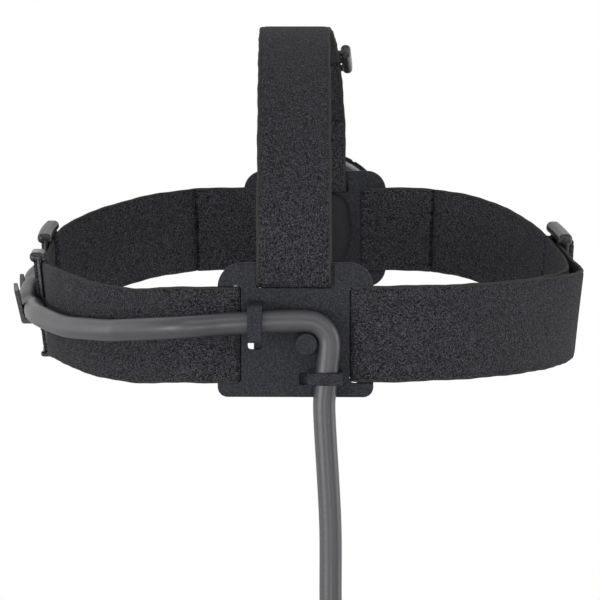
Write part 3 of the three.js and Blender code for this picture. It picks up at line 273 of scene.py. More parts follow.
def edited(mesh, change):
    """The mesh after a change made to it as a bmesh."""
    work = bmesh.new()
    work.from_mesh(mesh)
    change(work)
    work.to_mesh(mesh)
    work.free()
    return mesh


def skin(rows, size, start=0, wrapped=False):
    """Faces between rows of points that close on themselves; wrapped joins the last row to the first."""
    faces = []
    for i in range(rows if wrapped else rows - 1):
        low, high = start + i * size, start + (i + 1) % rows * size
        for j in range(size):
            k = (j + 1) % size
            faces.append((low + j, low + k, high + k, high + j))
    return faces


def linked(name, data):
    """An object in the scene, from its mesh, lamp or camera."""
    thing = bpy.data.objects.new(name, data)
    bpy.context.scene.collection.objects.link(thing)
    return thing


def piece(name, mesh, material, smoothed=True):
    thing = linked(name, mesh)
    mesh.materials.clear()
    mesh.materials.append(material)
    if smoothed:
        mesh.shade_smooth()
    return thing


def face_out(mesh):
    def turn(work):
        bmesh.ops.recalc_face_normals(work, faces=work.faces)
        if work.calc_volume(signed=True) < 0:
            bmesh.ops.reverse_faces(work, faces=work.faces)
    return edited(mesh, turn)


def rings_mesh(name, rings, uv=None):
    """A closed skin over rings of points, with a fan of faces at each end."""
    size = len(rings[0])
    points = [p for ring in rings for p in ring]
    faces = skin(len(rings), size)
    faces.append(tuple(range(size))[::-1])
    faces.append(tuple(range((len(rings) - 1) * size, len(rings) * size)))
    return face_out(to_mesh(name, points, faces, uv))


def tube_mesh(name, path, radius, sides=24):
    """A round tube along a polyline."""
    rings, uv, side, run = [], [], Vector((0, 1, 0.01)), 0.0
    for i, point in enumerate(path):
        before, after = path[max(i - 1, 0)], path[min(i + 1, len(path) - 1)]
        along = (after - before).normalized()
        side = (side - along * side.dot(along)).normalized()
        other = along.cross(side)
        run += (point - path[max(i - 1, 0)]).length
        rings.append([point + side * radius * cos(a) + other * radius * sin(a) for a in round_angles(sides)])
        uv += [(run, j / sides) for j in range(sides)]
    return rings_mesh(name, rings, uv)


# ---------- materials
class Nodes:
    """Short calls for the nodes of one tree."""

    def __init__(self, tree):
        self.tree = tree

    def set(self, node, values):
        for key, value in values.items():
            socket = node.inputs[key]
            if isinstance(value, bpy.types.NodeSocket):
                self.tree.links.new(value, socket)
            else:
                socket.default_value = value

    def node(self, kind, values=None, **settings):
        node = self.tree.nodes.new("ShaderNode" + kind)
        for key, value in settings.items():
            setattr(node, key, value)
        self.set(node, values or {})
        return node

    def math(self, operation, a, b=0.5):
        return self.node("Math", {0: a, 1: b}, operation=operation).outputs[0]

    def ranged(self, value, low, high, to_low=0.0, to_high=1.0):
        return self.node("MapRange", {"Value": value, "From Min": low, "From Max": high,
                                      "To Min": to_low, "To Max": to_high}).outputs["Result"]


class Finish(Nodes):
    """A procedural material."""

    def __init__(self, name, colour, roughness, metallic=0.0, specular=0.5):
        self.material = bpy.data.materials.new(name)
        self.material.use_nodes = True
        super().__init__(self.material.node_tree)
        self.surface = self.tree.nodes["Principled BSDF"]
        self.set(self.surface, {"Base Color": (*colour, 1), "Roughness": roughness,
                                "Metallic": metallic, "Specular IOR Level": specular})

    def place(self):
        return self.node("TexCoord").outputs["Object"]

    def stretched(self, vector, scale):
        return self.node("Mapping", {"Vector": vector, "Scale": scale}).outputs["Vector"]

    def noise(self, vector, scale, detail=3.0, roughness=0.55):
        return self.node("TexNoise", {"Vector": vector, "Scale": scale, "Detail": detail,
                                      "Roughness": roughness}).outputs["Fac"]

    def cells(self, vector, scale, feature="F1", output="Distance", randomness=1.0):
        return self.node("TexVoronoi", {"Vector": vector, "Scale": scale, "Randomness": randomness},
                         feature=feature).outputs[output]

    def blend(self, share, first, second, mode="MIX"):
        """Two colours mixed; each is a socket or three numbers."""
        node = self.node("Mix", data_type="RGBA", blend_type=mode)
        for socket, value in ((node.inputs[0], share), (node.inputs[6], first), (node.inputs[7], second)):
            if isinstance(value, bpy.types.NodeSocket):
                self.tree.links.new(value, socket)
            else:
                socket.default_value = value if isinstance(value, float) else (*value, 1)
        return node.outputs[2]

    def between(self, value, first, second):
        """Two colours mixed over the middle of a noise."""
        return self.blend(self.ranged(value, 0.3, 0.7), first, second)

    def swing(self, value, low, high):
        """Two numbers mixed over the middle of a noise."""
        return self.ranged(value, 0.3, 0.7, low, high)

    def bump(self, height, distance, strength):
        return self.node("Bump", {"Height": height, "Distance": distance,
                                  "Strength": strength}).outputs["Normal"]

    def give(self, **values):
        names = {"colour": "Base Color", "roughness": "Roughness", "normal": "Normal"}
        self.set(self.surface, {names[key]: value for key, value in values.items()})
        return self.material


def shade(value):
    """A screen value from 0 to 255 as light."""
    value = value / 255
    return value / 12.92 if value <= 0.04045 else ((value + 0.055) / 1.055) ** 2.4


def tone(*rgb):
    return tuple(shade(value) for value in rgb)


def rubber_finish():
    """Satin cable jacket: a slight orange peel and faint wiped patches."""
    f = Finish("cable_rubber", tone(50, 50, 54), 0.45, specular=0.8)
    at = f.place()
    peel = f.noise(at, 900.0, 2.0)
    patch = f.noise(at, 60.0, 3.0)
    colour = f.between(patch, tone(46, 46, 50), tone(54, 54, 58))
    return f.give(colour=colour, roughness=f.swing(patch, 0.4, 0.5),
                  normal=f.bump(peel, 0.00008, 0.5))


def knit_finish(name, width, cord_width):
    """Knitted elastic: a fine grain of loops with light fibre ends, and a smoother corded edge."""
    f = Finish(name, tone(38, 37, 42), 0.8, specular=0.12)
    uv = f.node("UVMap", uv_map="weave").outputs["UV"]
    parts = f.node("SeparateXYZ", {"Vector": uv})
    loop_scale = (3.2, 3.6, 1)
    loops = f.cells(f.stretched(uv, loop_scale), 1.0, randomness=0.85)
    tint = f.node("SeparateColor", {"Color": f.cells(
        f.stretched(uv, loop_scale), 1.0, output="Color", randomness=0.85)})
    fuzz = f.noise(f.stretched(uv, (6.5, 6.5, 1)), 1.0, 3.0, 0.7)
    slow = f.noise(f.stretched(uv, (0.05, 0.16, 1)), 1.0, 3.0)
    rows = f.noise(f.stretched(uv, (0.5, 1.7, 1)), 1.0, 2.0)
    grain = f.math("ADD", f.math("MULTIPLY", tint.outputs[0], 0.7), f.math("MULTIPLY", fuzz, 0.5))
    grain = f.math("ADD", grain, f.math("MULTIPLY", rows, 0.1))
    colour = f.blend(f.ranged(grain, 0.42, 1.02), tone(13, 13, 15), tone(73, 72, 78))
    ends = f.math("MULTIPLY", f.ranged(tint.outputs[1], 0.78, 0.9), f.ranged(loops, 0.16, 0.46, 1.0, 0.0))
    colour = f.blend(f.math("MULTIPLY", ends, f.ranged(fuzz, 0.36, 0.56)), colour, tone(150, 149, 154))
    colour = f.blend(f.ranged(slow, 0.3, 0.75, 0.0, 0.25), colour, tone(46, 45, 47))
    cord = f.ranged(f.math("ABSOLUTE", parts.outputs[1], 0.0), width / 2 - cord_width - 0.2,
                    width / 2 - cord_width + 0.1)
    twist = f.math("SINE", f.math("MULTIPLY", f.math("ADD", parts.outputs[0], f.math(
        "MULTIPLY", parts.outputs[1], 1.3)), 9.0), 0.0)
    edging = f.blend(f.ranged(twist, -0.9, 0.9, 0.0, 0.5), tone(66, 63, 59), tone(48, 46, 44))
    edging = f.blend(f.swing(fuzz, 0.0, 0.6), edging, tone(40, 39, 40))
    height = f.math("MULTIPLY", f.ranged(loops, 0.0, 0.6, 1.0, 0.0), f.ranged(fuzz, 0.25, 0.7, 0.5, 1.0))
    relief = f.blend(cord, height, f.ranged(twist, -1.0, 1.0, 0.35, 0.7))
    return f.give(colour=f.blend(cord, colour, edging),
                  roughness=f.ranged(fuzz, 0.2, 0.8, 0.66, 0.92),
                  normal=f.bump(relief, 0.0003, 0.9))


def spark_finish(name, colour, roughness, grain=3300.0, depth=0.0001, lift=6.5, drop=0.3, specular=0.3):
    """Moulded plastic from a spark-eroded tool: fine pits, a mottled shade and rubbed light specks."""
    f = Finish(name, colour, roughness, specular=specular)
    at = f.place()
    pits = f.noise(at, grain, 3.0, 0.6)
    mottle = f.noise(at, grain * 0.6, 2.0, 0.6)
    slow = f.noise(at, 45.0, 2.0)
    share = f.math("ADD", f.math("MULTIPLY", pits, 0.55), f.math("MULTIPLY", mottle, 0.45))
    tinted = f.blend(f.ranged(share, 0.45, 0.7), tuple(c * drop for c in colour),
                     tuple(c * lift for c in colour))
    tinted = f.blend(f.swing(slow, 0.0, 0.3), tinted, tuple(c * 1.25 for c in colour))
    return f.give(colour=tinted, roughness=f.swing(pits, roughness - 0.1, roughness + 0.12),
                  normal=f.bump(pits, depth, 0.9))


def brushed_finish(name, colour, roughness, stretch, metallic=1.0):
    """Worked metal with fine lines along one way and a slight change of tone."""
    f = Finish(name, colour, roughness, metallic)
    at = f.place()
    lines = f.noise(f.stretched(at, stretch), 1.0, 3.0, 0.6)
    slow = f.noise(at, 120.0, 3.0)
    tinted = f.between(slow, tuple(c * 0.85 for c in colour), colour)
    return f.give(colour=tinted, roughness=f.swing(lines, roughness - 0.07, roughness + 0.09),
                  normal=f.bump(lines, 0.00002, 0.5))


def foam_finish():
    f = Finish("pad_foam", tone(38, 38, 41), 0.9, specular=0.25)
    at = f.place()
    cells = f.cells(at, 1400.0)
    slow = f.noise(at, 90.0, 3.0)
    colour = f.between(slow, tone(33, 33, 36), tone(46, 46, 49))
    return f.give(colour=colour, roughness=f.swing(slow, 0.84, 0.96),
                  normal=f.bump(cells, 0.00022, 0.8))


def clear_finish():
    f = Finish("lens_glass", (0.96, 0.98, 1.0), 0.03)
    f.set(f.surface, {"Transmission Weight": 1.0, "IOR": 1.5})
    haze = f.noise(f.place(), 240.0, 4.0)
    return f.give(roughness=f.ranged(haze, 0.35, 0.75, 0.015, 0.06))


def mirror_finish():
    f = Finish("reflector_metal", (0.9, 0.9, 0.91), 0.12, 1.0)
    peel = f.noise(f.place(), 900.0, 2.0)
    slow = f.noise(f.place(), 160.0, 3.0)
    return f.give(roughness=f.swing(slow, 0.08, 0.2), normal=f.bump(peel, 0.00006, 0.6))


def phosphor_finish():
    f = Finish("led_dome", tone(226, 190, 84), 0.3)
    f.set(f.surface, {"Coat Weight": 0.7, "Coat Roughness": 0.1})
    grain = f.noise(f.place(), 2500.0, 3.0)
    return f.give(colour=f.between(grain, tone(214, 172, 62), tone(238, 210, 120)))


def board_finish(name, base, mark, scale):
    f = Finish(name, base, 0.45)
    at = f.place()
    tracks = f.cells(at, scale, feature="DISTANCE_TO_EDGE")
    slow = f.noise(at, 300.0, 3.0)
    colour = f.blend(f.ranged(tracks, 0.03, 0.06), mark, base)
    return f.give(colour=colour, roughness=f.swing(slow, 0.36, 0.55),
                  normal=f.bump(f.ranged(tracks, 0.02, 0.07), 0.00004, 0.5))


def tie_finish():
    """Hook-and-loop tape: brushed loops over a woven ground."""
    f = Finish("tie_fabric", tone(34, 34, 37), 0.95, specular=0.2)
    at = f.place()
    curls = f.cells(at, 1900.0)
    weave = f.noise(f.stretched(at, (900, 900, 260)), 1.0, 3.0, 0.7)
    colour = f.blend(f.ranged(curls, 0.1, 0.5), tone(62, 62, 66), tone(22, 22, 25))
    colour = f.blend(f.swing(weave, 0.0, 0.5), colour, tone(44, 44, 48))
    return f.give(colour=colour, roughness=f.ranged(weave, 0.2, 0.8, 0.85, 1.0),
                  normal=f.bump(curls, 0.0003, 0.8))


def thread_finish():
    f = Finish("sewing_thread", tone(48, 48, 51), 0.6, specular=0.3)
    ply = f.noise(f.place(), 4200.0, 2.0)
    return f.give(colour=f.between(ply, tone(30, 30, 33), tone(74, 74, 78)),
                  roughness=f.swing(ply, 0.5, 0.7))


KNIT = knit_finish("elastic_band", WOVEN, 0.4)
KNIT_NARROW = knit_finish("elastic_strap", STRAP, 0.6)
MOULDED = spark_finish("moulded_plastic", tone(22, 23, 28), 0.6)
GLOSSY = spark_finish("buckle_plastic", tone(33, 34, 37), 0.3, grain=1500.0, depth=0.00003, lift=1.2,
                      drop=0.85, specular=0.5)
FOAM = foam_finish()
ANODISED = brushed_finish("lamp_metal", tone(58, 59, 63), 0.4, (500, 2600, 500), 0.85)
BRACKET = brushed_finish("bracket_metal", tone(62, 63, 66), 0.42, (300, 2600, 2600), 0.85)
STEEL = brushed_finish("screw_steel", tone(172, 173, 176), 0.3, (1500, 1500, 400))
WASHER = spark_finish("washer_plastic", tone(60, 61, 64), 0.5)
CLEAR = clear_finish()
MIRROR = mirror_finish()
PHOSPHOR = phosphor_finish()
CERAMIC = board_finish("board_ceramic", tone(222, 222, 216), tone(196, 168, 110), 420.0)
CIRCUIT = board_finish("circuit_board", tone(30, 84, 58), tone(176, 148, 84), 520.0)
PRESSED = spark_finish("button_rubber", tone(48, 48, 52), 0.6, grain=1800.0)
PLUG = spark_finish("plug_plastic", tone(36, 37, 40), 0.45)
BRASS = brushed_finish("contact_brass", tone(206, 164, 78), 0.28, (1200, 1200, 400))
TIE = tie_finish()
THREAD = thread_finish()
RUBBER = rubber_finish()

# ---------- solid drawing
AXES = {"x": lambda r, s, h: (h, r, s), "y": lambda r, s, h: (r, h, s), "z": lambda r, s, h: (r, s, h)}


def raw(points, faces):
    mesh = bpy.data.meshes.new("raw")
    mesh.from_pydata([tuple(p) for p in points], [], faces)

    def clean(work):
        bmesh.ops.remove_doubles(work, verts=work.verts, dist=1e-5)
        bmesh.ops.dissolve_degenerate(work, edges=work.edges, dist=1e-6)
    return face_out(edited(mesh, clean))


def rounded_line(points, radius, steps=4, closed=False):
    """A flat line with its corners rounded as far as its sides allow."""
    points = [Vector(p) for p in points]
    count, out = len(points), []
    for i, corner in enumerate(points):
        if not closed and i in (0, count - 1):
            out.append(corner)
            continue
        back, on = points[i - 1] - corner, points[(i + 1) % count] - corner
        half = back.angle(on) / 2
        if half > radians(86) or half < 0.02:
            out.append(corner)
            continue
        reach = min(radius / tan(half), back.length * 0.48, on.length * 0.48)
        a, b = corner + back.normalized() * reach, corner + on.normalized() * reach
        for j in range(steps + 1):
            t = j / steps
            out.append(a * (1 - t) ** 2 + corner * 2 * t * (1 - t) + b * t * t)
    return out


def disc(radius, low, high, inner=0):
    """Profile of a plain disc or ring."""
    return [(inner, low), (radius, low), (radius, high), (inner, high)]


def turned(axis, profile, sides=64, radius=0.35, closed=None):
    """A turned solid from [radius, height] corners, rounded in profile."""
    if closed is None:
        closed = profile[0][0] > 0
    line = rounded_line(profile, radius, closed=closed) if radius else [Vector(p) for p in profile]
    points = [AXES[axis](p.x * cos(a), p.x * sin(a), p.y)
              for p in line for a in round_angles(sides)]
    return raw(points, skin(len(line), sides, wrapped=closed))


def rod(axis, radius, start, end, centre=(0, 0, 0), sides=48):
    return moved(turned(axis, disc(radius, start, end), sides, 0), centre)


def slab(outline, low, high):
    count = len(outline)
    points = [(x, y, z) for z in (low, high) for x, y in outline]
    faces = [tuple(range(count))[::-1], tuple(range(count, 2 * count))]
    faces += [(j, (j + 1) % count, (j + 1) % count + count, j + count) for j in range(count)]
    return raw(points, faces)


def brick(low, high, corner=0.0):
    """A box given by its low and high corners, with its upright corners rounded."""
    (x0, y0, z0), (x1, y1, z1) = low, high
    outline = [(x0, y0), (x1, y0), (x1, y1), (x0, y1)]
    if corner:
        outline = [tuple(p) for p in rounded_line(outline, corner, closed=True)]
    return slab(outline, z0, z1)


def plate_outline(width, height, top, low, steps=12):
    x, y = width / 2, height / 2
    out = []
    for cx, cy, r, start in ((x - low, low - y, low, -90), (x - top, y - top, top, 0),
                             (top - x, y - top, top, 90), (low - x, low - y, low, 180)):
        out += arc(cx, cy, r, start, start + 90, steps)
    return out


def moved(mesh, offset):
    mesh.transform(Matrix.Translation(offset))
    return mesh


def settled(mesh, *modifiers):
    """The mesh after modifiers, each a type with its settings."""
    thing = linked("draft", mesh)
    for kind, settings in modifiers:
        modifier = thing.modifiers.new(kind, kind)
        for key, value in settings.items():
            setattr(modifier, key, value)
    graph = bpy.context.evaluated_depsgraph_get()
    result = bpy.data.meshes.new_from_object(thing.evaluated_get(graph), depsgraph=graph)
    bpy.data.objects.remove(thing)
    return result


def worked(base, *steps):
    """Joins, cuts and common parts in order: each step is +, - or &, and a mesh."""
    operations = {"+": "UNION", "-": "DIFFERENCE", "&": "INTERSECT"}
    for sign, tool in steps:
        other = linked("tool", tool)
        base = settled(base, ("BOOLEAN", {"operation": operations[sign], "solver": "EXACT", "object": other}))
        bpy.data.objects.remove(other)
    return base


def softened(mesh, width=0.3, segments=2, angle=35):
    return settled(mesh, ("BEVEL", {"width": width, "segments": segments, "limit_method": "ANGLE",
                                    "angle_limit": radians(angle), "miter_outer": "MITER_ARC"}))


def sliced(mesh, step=1.5, off=0.013):
    """Cuts a mesh across x so that it can follow a curved line; the cuts lie just off its own points."""
    def cut(work):
        low = min(v.co.x for v in work.verts)
        high = max(v.co.x for v in work.verts)
        for i in range(1, int((high - low) / step) + 1):
            bmesh.ops.bisect_plane(work, geom=work.verts[:] + work.edges[:] + work.faces[:],
                                   plane_co=(low + i * step + off, 0, 0), plane_no=(1, 0, 0), dist=1e-4)
    return edited(mesh, cut)


def remapped(mesh, rule):
    for vertex in mesh.vertices:
        vertex.co = rule(vertex.co)
    return face_out(mesh)


def at_rear(mesh):
    return remapped(mesh, lambda p: Vector((p.x, HALF_LENGTH + p.z, REAR.z + p.y)))


def at_front(mesh):
    return remapped(mesh, lambda p: Vector((p.x, -HALF_LENGTH - p.z, FRONT.z + p.y)))


def laid(mesh, line, u, side=1, lean=0.0):
    return remapped(sliced(mesh), lambda p: line.put(p.x + u, p.y, p.z + lean * p.y, side))


def mounted(thing, body, nodes):
    """Rides a piece on its body, in place of the nodes that it stands for."""
    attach(thing, body)
    if nodes:
        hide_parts(*nodes)
    return thing


def fitted(name, mesh, finish, body, nodes, weighted=True):
    """A finished rigid piece, from a mesh in millimetres."""
    mesh.transform(Matrix.Scale(MM, 4))
    mesh.name = name
    thing = piece(name, mesh, finish)
    if weighted:
        mesh.set_sharp_from_angle(angle=radians(50))
        modifier = thing.modifiers.new("even shading", "WEIGHTED_NORMAL")
        modifier.keep_sharp = True
    return mounted(thing, body, nodes)


def on_lamp(name, mesh, finish, node, body="lamp"):
    """A piece drawn round the lamp's pivot, in place of one node."""
    return fitted(name, remapped(mesh, lambda p: p + PIVOT), finish, body, [node])


def strap_stations(corners, step=1.5, bend_steps=7):
    """Middle line of a strap through [along, outward, bend radius], as points with normals."""
    flat = [Vector(c[:2]) for c in corners]
    runs, start = [], flat[0]
    for i in range(1, len(flat) - 1):
        corner = flat[i]
        back, on = (flat[i - 1] - corner).normalized(), (flat[i + 1] - corner).normalized()
        reach = corners[i][2] / tan(acos(min(max(back.dot(on), -1), 1)) / 2)
        a, b = corner + back * reach, corner + on * reach
        runs += [(start, None, a), (a, corner, b)]
        start = b
    runs.append((start, None, flat[-1]))
    out = []
    for a, c, b in runs:
        count = bend_steps if c else max(1, round((b - a).length / step))
        for j in range(1 if out else 0, count + 1):
            t = j / count
            if c:
                point = a * (1 - t) ** 2 + c * 2 * t * (1 - t) + b * t * t
                along = (c - a) * (1 - t) + (b - c) * t
            else:
                point, along = a.lerp(b, t), b - a
            along = along.normalized()
            out.append((point, Vector((-along.y, along.x))))
    return out


def strap_section(width):
    """Half a strap's section from edge to edge: a corded edge, a groove, then the flat field."""
    edge = [(0.5, 0.0), (0.46, 0.24), (0.32, 0.42), (0.1, 0.52), (-0.2, 0.54), (-0.45, 0.46),
            (-0.6, 0.47), (-0.8, 0.6), (-1.4, 0.65)]
    rows = [(width / 2 - 0.5 + v, t) for v, t in edge]
    field = [(width * share, 0.65) for share in (0.3, 0.1, -0.1, -0.3)]
    return rows + field + [(-v, t) for v, t in reversed(rows)]


def strap(name, corners, line, width, finish, nodes, side=1, seed=1, tilt=None):
    stations = strap_stations(corners)
    half = strap_section(width)
    loop = half + [(v, -t) for v, t in reversed(half[1:-1])]
    rings, uv, run = [], [], 0.0
    for i, (point, normal) in enumerate(stations):
        if i:
            run += (point - stations[i - 1][0]).length
        sway = 0.07 * sin(run * 0.31 + seed) + 0.05 * sin(run * 0.83 + 2 * seed)
        lean = tilt(point.x, point.y) if tilt else 0.0
        rings.append([line.put(point.x + normal.x * t, v + sway, point.y + normal.y * t + lean * v, side)
                      for v, t in loop])
        uv += [(run, v) for v, _ in loop]
    mesh = rings_mesh(name, rings, uv)
    thing = piece(name, mesh, finish)
    mesh.set_sharp_from_angle(angle=radians(70))
    mounted(thing, "headset", nodes)
    return stations


def over_bar(middle):
    over = LAYER + BAR_THICK + 0.1 + THICK / 2
    crossing = (BAR + (SLIDE - 3 * BAR) / 2) / 2
    low = THICK / 2
    return [(middle - crossing, low, 1), (middle - crossing, over, 1),
            (middle + crossing, over, 1), (middle + crossing, low, 1)]


# ---------- the lead
# Its middle stands CORD_OFF off the strap line at the rear plate, and ON_BAND off it along the band.
CORD_OFF = LAYER + REAR.thickness - SLOT.recess + GAP + THICK + GAP + CORD / 2
CORD_Y = HALF_LENGTH + CORD_OFF
ON_BAND = THICK + GAP + CORD / 2
# A slide's hook, behind its rear bar: the hook's width, the length of its neck, and its middle.
HOOK_WIDTH, HOOK_NECK = 7.5, 4
HOOK = -SLIDE / 2 + BAR - HOOK_NECK - HOOK_WIDTH / 2


def lead_piece(name, path):
    thing = piece(name, tube_mesh(name, path, JACKET / 2), RUBBER)
    thing.data.set_sharp_from_angle(angle=radians(50))
    return thing


def held_route():
    """The lead from the temple to the plate's lower hook: over both slides, and round the post."""
    # Over a slide, and down to its hook: place along the band, and height of the lead's middle.
    ramp = [(6, 7.15), (0, 7.25), (-3.6, 6.85), (-6, 6.05), (-9.7, 5.2), (-12.2, 4.9), (-15.5, 4.7)]
    # Place along the band, height off it, and place across it.
    marks = [
        (front_u + 37, ON_BAND + 2.2, -0.5), (front_u + 30, ON_BAND + 1.2, -0.3),
        (front_u + 17, ON_BAND + 0.5, 0), *[(front_u + along, off, 0) for along, off in ramp[:4]],
        (front_u - 9.7, 5.2, 0.5), (front_u - 13.5, 5.1, 1.3), (slide_u + 13, 6.0, 3.6),
        (slide_u + 6, 7.15, 2.8), (slide_u, 7.25, 1.8), (slide_u - 3.6, 6.85, 0.9),
        *[(slide_u + along, off, 0) for along, off in ramp[3:]], (slide_u + HOOK - 32, ON_BAND + 0.1, -0.9),
        (78, ON_BAND + 0.1, -0.8), (60, ON_BAND + 1.6, 0.8), (44, ON_BAND + 3.4, 1.9)]
    flat = resample(spline([Vector(mark) for mark in marks], 60), 48)
    route = [left_line.put(p.x, p.z, p.y) for p in flat]
    # Level across the plate, a quarter turn round the post, and down behind the lower hook.
    route += [Vector((x, CORD_Y + out, z))
              for x, out, z in ((30, 0.9, 1.8), (19, 0, 2.6), (10.7, 0, 3.1), (4, 0, 3.4))]
    around = [radians(angle) for angle in (90, 112, 135, 158, 180)]
    route += [Vector((BEND.x + BEND.radius * cos(a), CORD_Y,
                      BEND.z + BEND.radius * sin(a))) for a in around]
    return route + [Vector((-8.6, CORD_Y, -8.6)), Vector((-8.0, CORD_Y, -15.6))]


COIL_CENTRE = Vector((-2.7, CORD_Y, -130))


def coil_point(turn):
    """Place on the coil: it winds inwards in one layer, crosses over, and winds outwards in the next."""
    turns, entry = COIL.turns, COIL.entry
    inward = min(turn, 2 * turns - turn)
    half = turns - 0.25
    if half < turn < half + 0.5:
        inward = half + (0.25 - (2 * (turn - turns)) ** 2 * 0.25) * 0.5
    radius = COIL.radius + COIL.pitch * turns / 2 - COIL.pitch * inward
    angle = entry - turn * 2 * pi
    climb = smooth((turn - half) / 0.5)
    return COIL_CENTRE + Vector((-radius * cos(angle), -COIL.layer * climb, radius * sin(angle)))


def coil_route(steps=48):
    whole = 2 * COIL.turns + COIL.entry / (2 * pi)
    count = round(whole * steps)
    turns = [coil_point(i * whole / count) for i in range(count + 1)]
    entry = COIL.entry
    first = turns[0] + Vector((sin(entry), 0, cos(entry))) * CORD
    return [first] + turns + [turns[-1] + Vector((0, 0, -CORD * 1.6))]


def drop_route(end, heading):
    """The lead from the plate down to the coil, which it meets along its heading."""
    entry, bend = COIL.entry, COIL.bend
    start = held[-1].copy()
    straight = end - heading * CORD
    middle = Vector((straight.x - bend * cos(entry), CORD_Y, straight.z + bend * sin(entry)))
    turn_in = [middle + Vector((bend * cos(a), 0, -bend * sin(a)))
               for a in (entry * share for share in (0, 0.25, 0.5, 0.75))]
    high = start + (start - held[-2]) * 0.4
    sag = start.lerp(turn_in[0], 0.6) + Vector((-0.45, 0, 0))
    return [start, high, sag, *turn_in, straight, end]


held = held_route()
mounted(lead_piece("cable_side", spline(held, 8)), "headset", ["cable_side_run"])

coil = coil_route()
heading = Vector((-sin(COIL.entry), 0, -cos(COIL.entry)))
lead = spline(drop_route(coil[0], heading), 8)[:-1] + spline(coil, 1)
free = mounted(lead_piece("cable_free", lead), "headset", ["cable_drop", "cable_coil"])


def loop_route():
    """The lead from the gland round to the temple."""
    y = PIVOT.y + GLAND.y
    on = (held[1] - held[0]).normalized()
    meet = held[0] - on * GAP
    return [Vector((41.2, y, 18)), Vector((46.2, y, 17.8)), Vector((56.2, y + 3.5, 16.4)),
            Vector((62.7, y + 14, 14)), Vector((61.2, y + 29, 12.5)), Vector((55.2, y + 42, 13.4)),
            meet - on * 12 + Vector((1, -1, -0.6)), meet - on * 5, held[0].copy()]


lamp_loop = lead_piece("cable_loop", spline(loop_route(), 12))
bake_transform(lamp_loop)
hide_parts("cable_lamp_loop")

# ---------- straps in place
REAR_HALF, END, RIGHT_END = REAR.width / 2, left_line.length, right_line.length
# The right band's free outer layer: where it stands off the inner one, how far, and how far it leans.
SLACK_START, SLACK_END, SLACK_RISE, SLACK_LEAN = 72, right_u - BUCKLE, 1.6, 0.13
# A strap stays up for PAST_EDGE beyond its plate, and HEM_LIFT over its own sewn end.
PAST_EDGE, HEM_LIFT = 1.5, 0.4
MIDDLE = SLOT.inner + THICK / 2 - 0.1
LOW0, LOW1 = THICK / 2, LAYER + THICK / 2
OVER_REAR = LAYER + REAR.thickness - SLOT.recess + GAP + THICK / 2
OVER_FRONT = LAYER + FRONT.thickness - SLOT.recess + GAP + THICK / 2


def hem(turn, edge, over, way):
    """Corners of a sewn hem: from its free end, round the plate's bar and on to the single layer."""
    return [(turn + way * TAIL, LOW0), (turn, LOW0, 1), (turn, over, 2), (edge + way * PAST_EDGE, over, 2),
            (turn + way * (TAIL - 2), LOW1 + HEM_LIFT, 2), (turn + way * (TAIL + 6), LOW0, 2)]


def front_hem(end):
    return hem(end - MIDDLE, end - FRONT.width / 2, OVER_FRONT, -1)


def left_corners():
    return [*hem(MIDDLE, REAR_HALF, OVER_REAR, 1), *over_bar(slide_u), *over_bar(front_u),
            *reversed(front_hem(END))]


def slack(u):
    """How far along the right band's free outer layer a place is, from 0 at its ends to 1 at its middle."""
    share = (u - SLACK_START) / (SLACK_END - SLACK_START)
    return sin(pi * min(max(share, 0), 1))


def left_lean(u, _):
    return SLIDE_LEAN * smooth((30 - abs(u - slide_u)) / 20)


def right_lean(u, w):
    return SLACK_LEAN * slack(u) ** 2 if w > LAYER and u < SLACK_END else 0.0


def right_corners():
    """From the forehead round the buckle, back to the rear plate, and forward to the buckle's middle bar."""
    turn = BAR / 2 + GAP + THICK / 2
    end_height = 2 * LAYER + BAR_THICK + GAP + THICK / 2
    over = end_height + LAYER
    slack_places = [SLACK_END - (SLACK_END - SLACK_START) * i / 20 for i in range(21)]
    return [*front_hem(RIGHT_END), (right_u + turn + LAYER, LOW0, 1), (right_u + turn + LAYER, over, 1),
            (right_u - turn, over, 1), (right_u - turn, LOW1, 1),
            *[(u, LOW1 + SLACK_RISE * slack(u) ** 2, 20) for u in slack_places],
            (REAR_HALF + 16, LOW1, 3), (REAR_HALF + PAST_EDGE, OVER_REAR, 2), (MIDDLE, OVER_REAR, 2),
            (MIDDLE, LOW0, 1), (right_u + turn, LOW0, 1), (right_u + turn, end_height, 1),
            (right_u - BAR / 2 + 0.6, end_height)]


def top_corners():
    into_slot = SLOT.drop + SLOT.width - THICK / 2 + 0.1
    start = REAR_TOP - into_slot - CROWN_START
    end = top_line.length - (FRONT_TOP - into_slot - CROWN_END)
    return [*hem(start, REAR_TOP - CROWN_START, OVER_REAR, 1), *over_bar(crown_u),
            *reversed(hem(end, top_line.length - (FRONT_TOP - CROWN_END), OVER_FRONT, -1))]


left_stations = strap("band_left", left_corners(), left_line, WOVEN, KNIT,
                      ["left_band"], seed=1, tilt=left_lean)
right_stations = strap("band_right", right_corners(), right_line, WOVEN, KNIT,
                       ["right_band"], side=-1, seed=2, tilt=right_lean)
crown_stations = strap("strap_top", top_corners(), top_line, STRAP, KNIT_NARROW,
                       ["top_strap"], seed=3)


def outer_height(stations, u):
    """Height of a strap's outermost face at u."""
    best = 0.0
    for (a, _), (b, _) in zip(stations, stations[1:]):
        if min(a.x, b.x) <= u <= max(a.x, b.x) and abs(a.x - b.x) > 0.05:
            best = max(best, a.y + (b.y - a.y) * (u - a.x) / (b.x - a.x))
    return best + THICK / 2


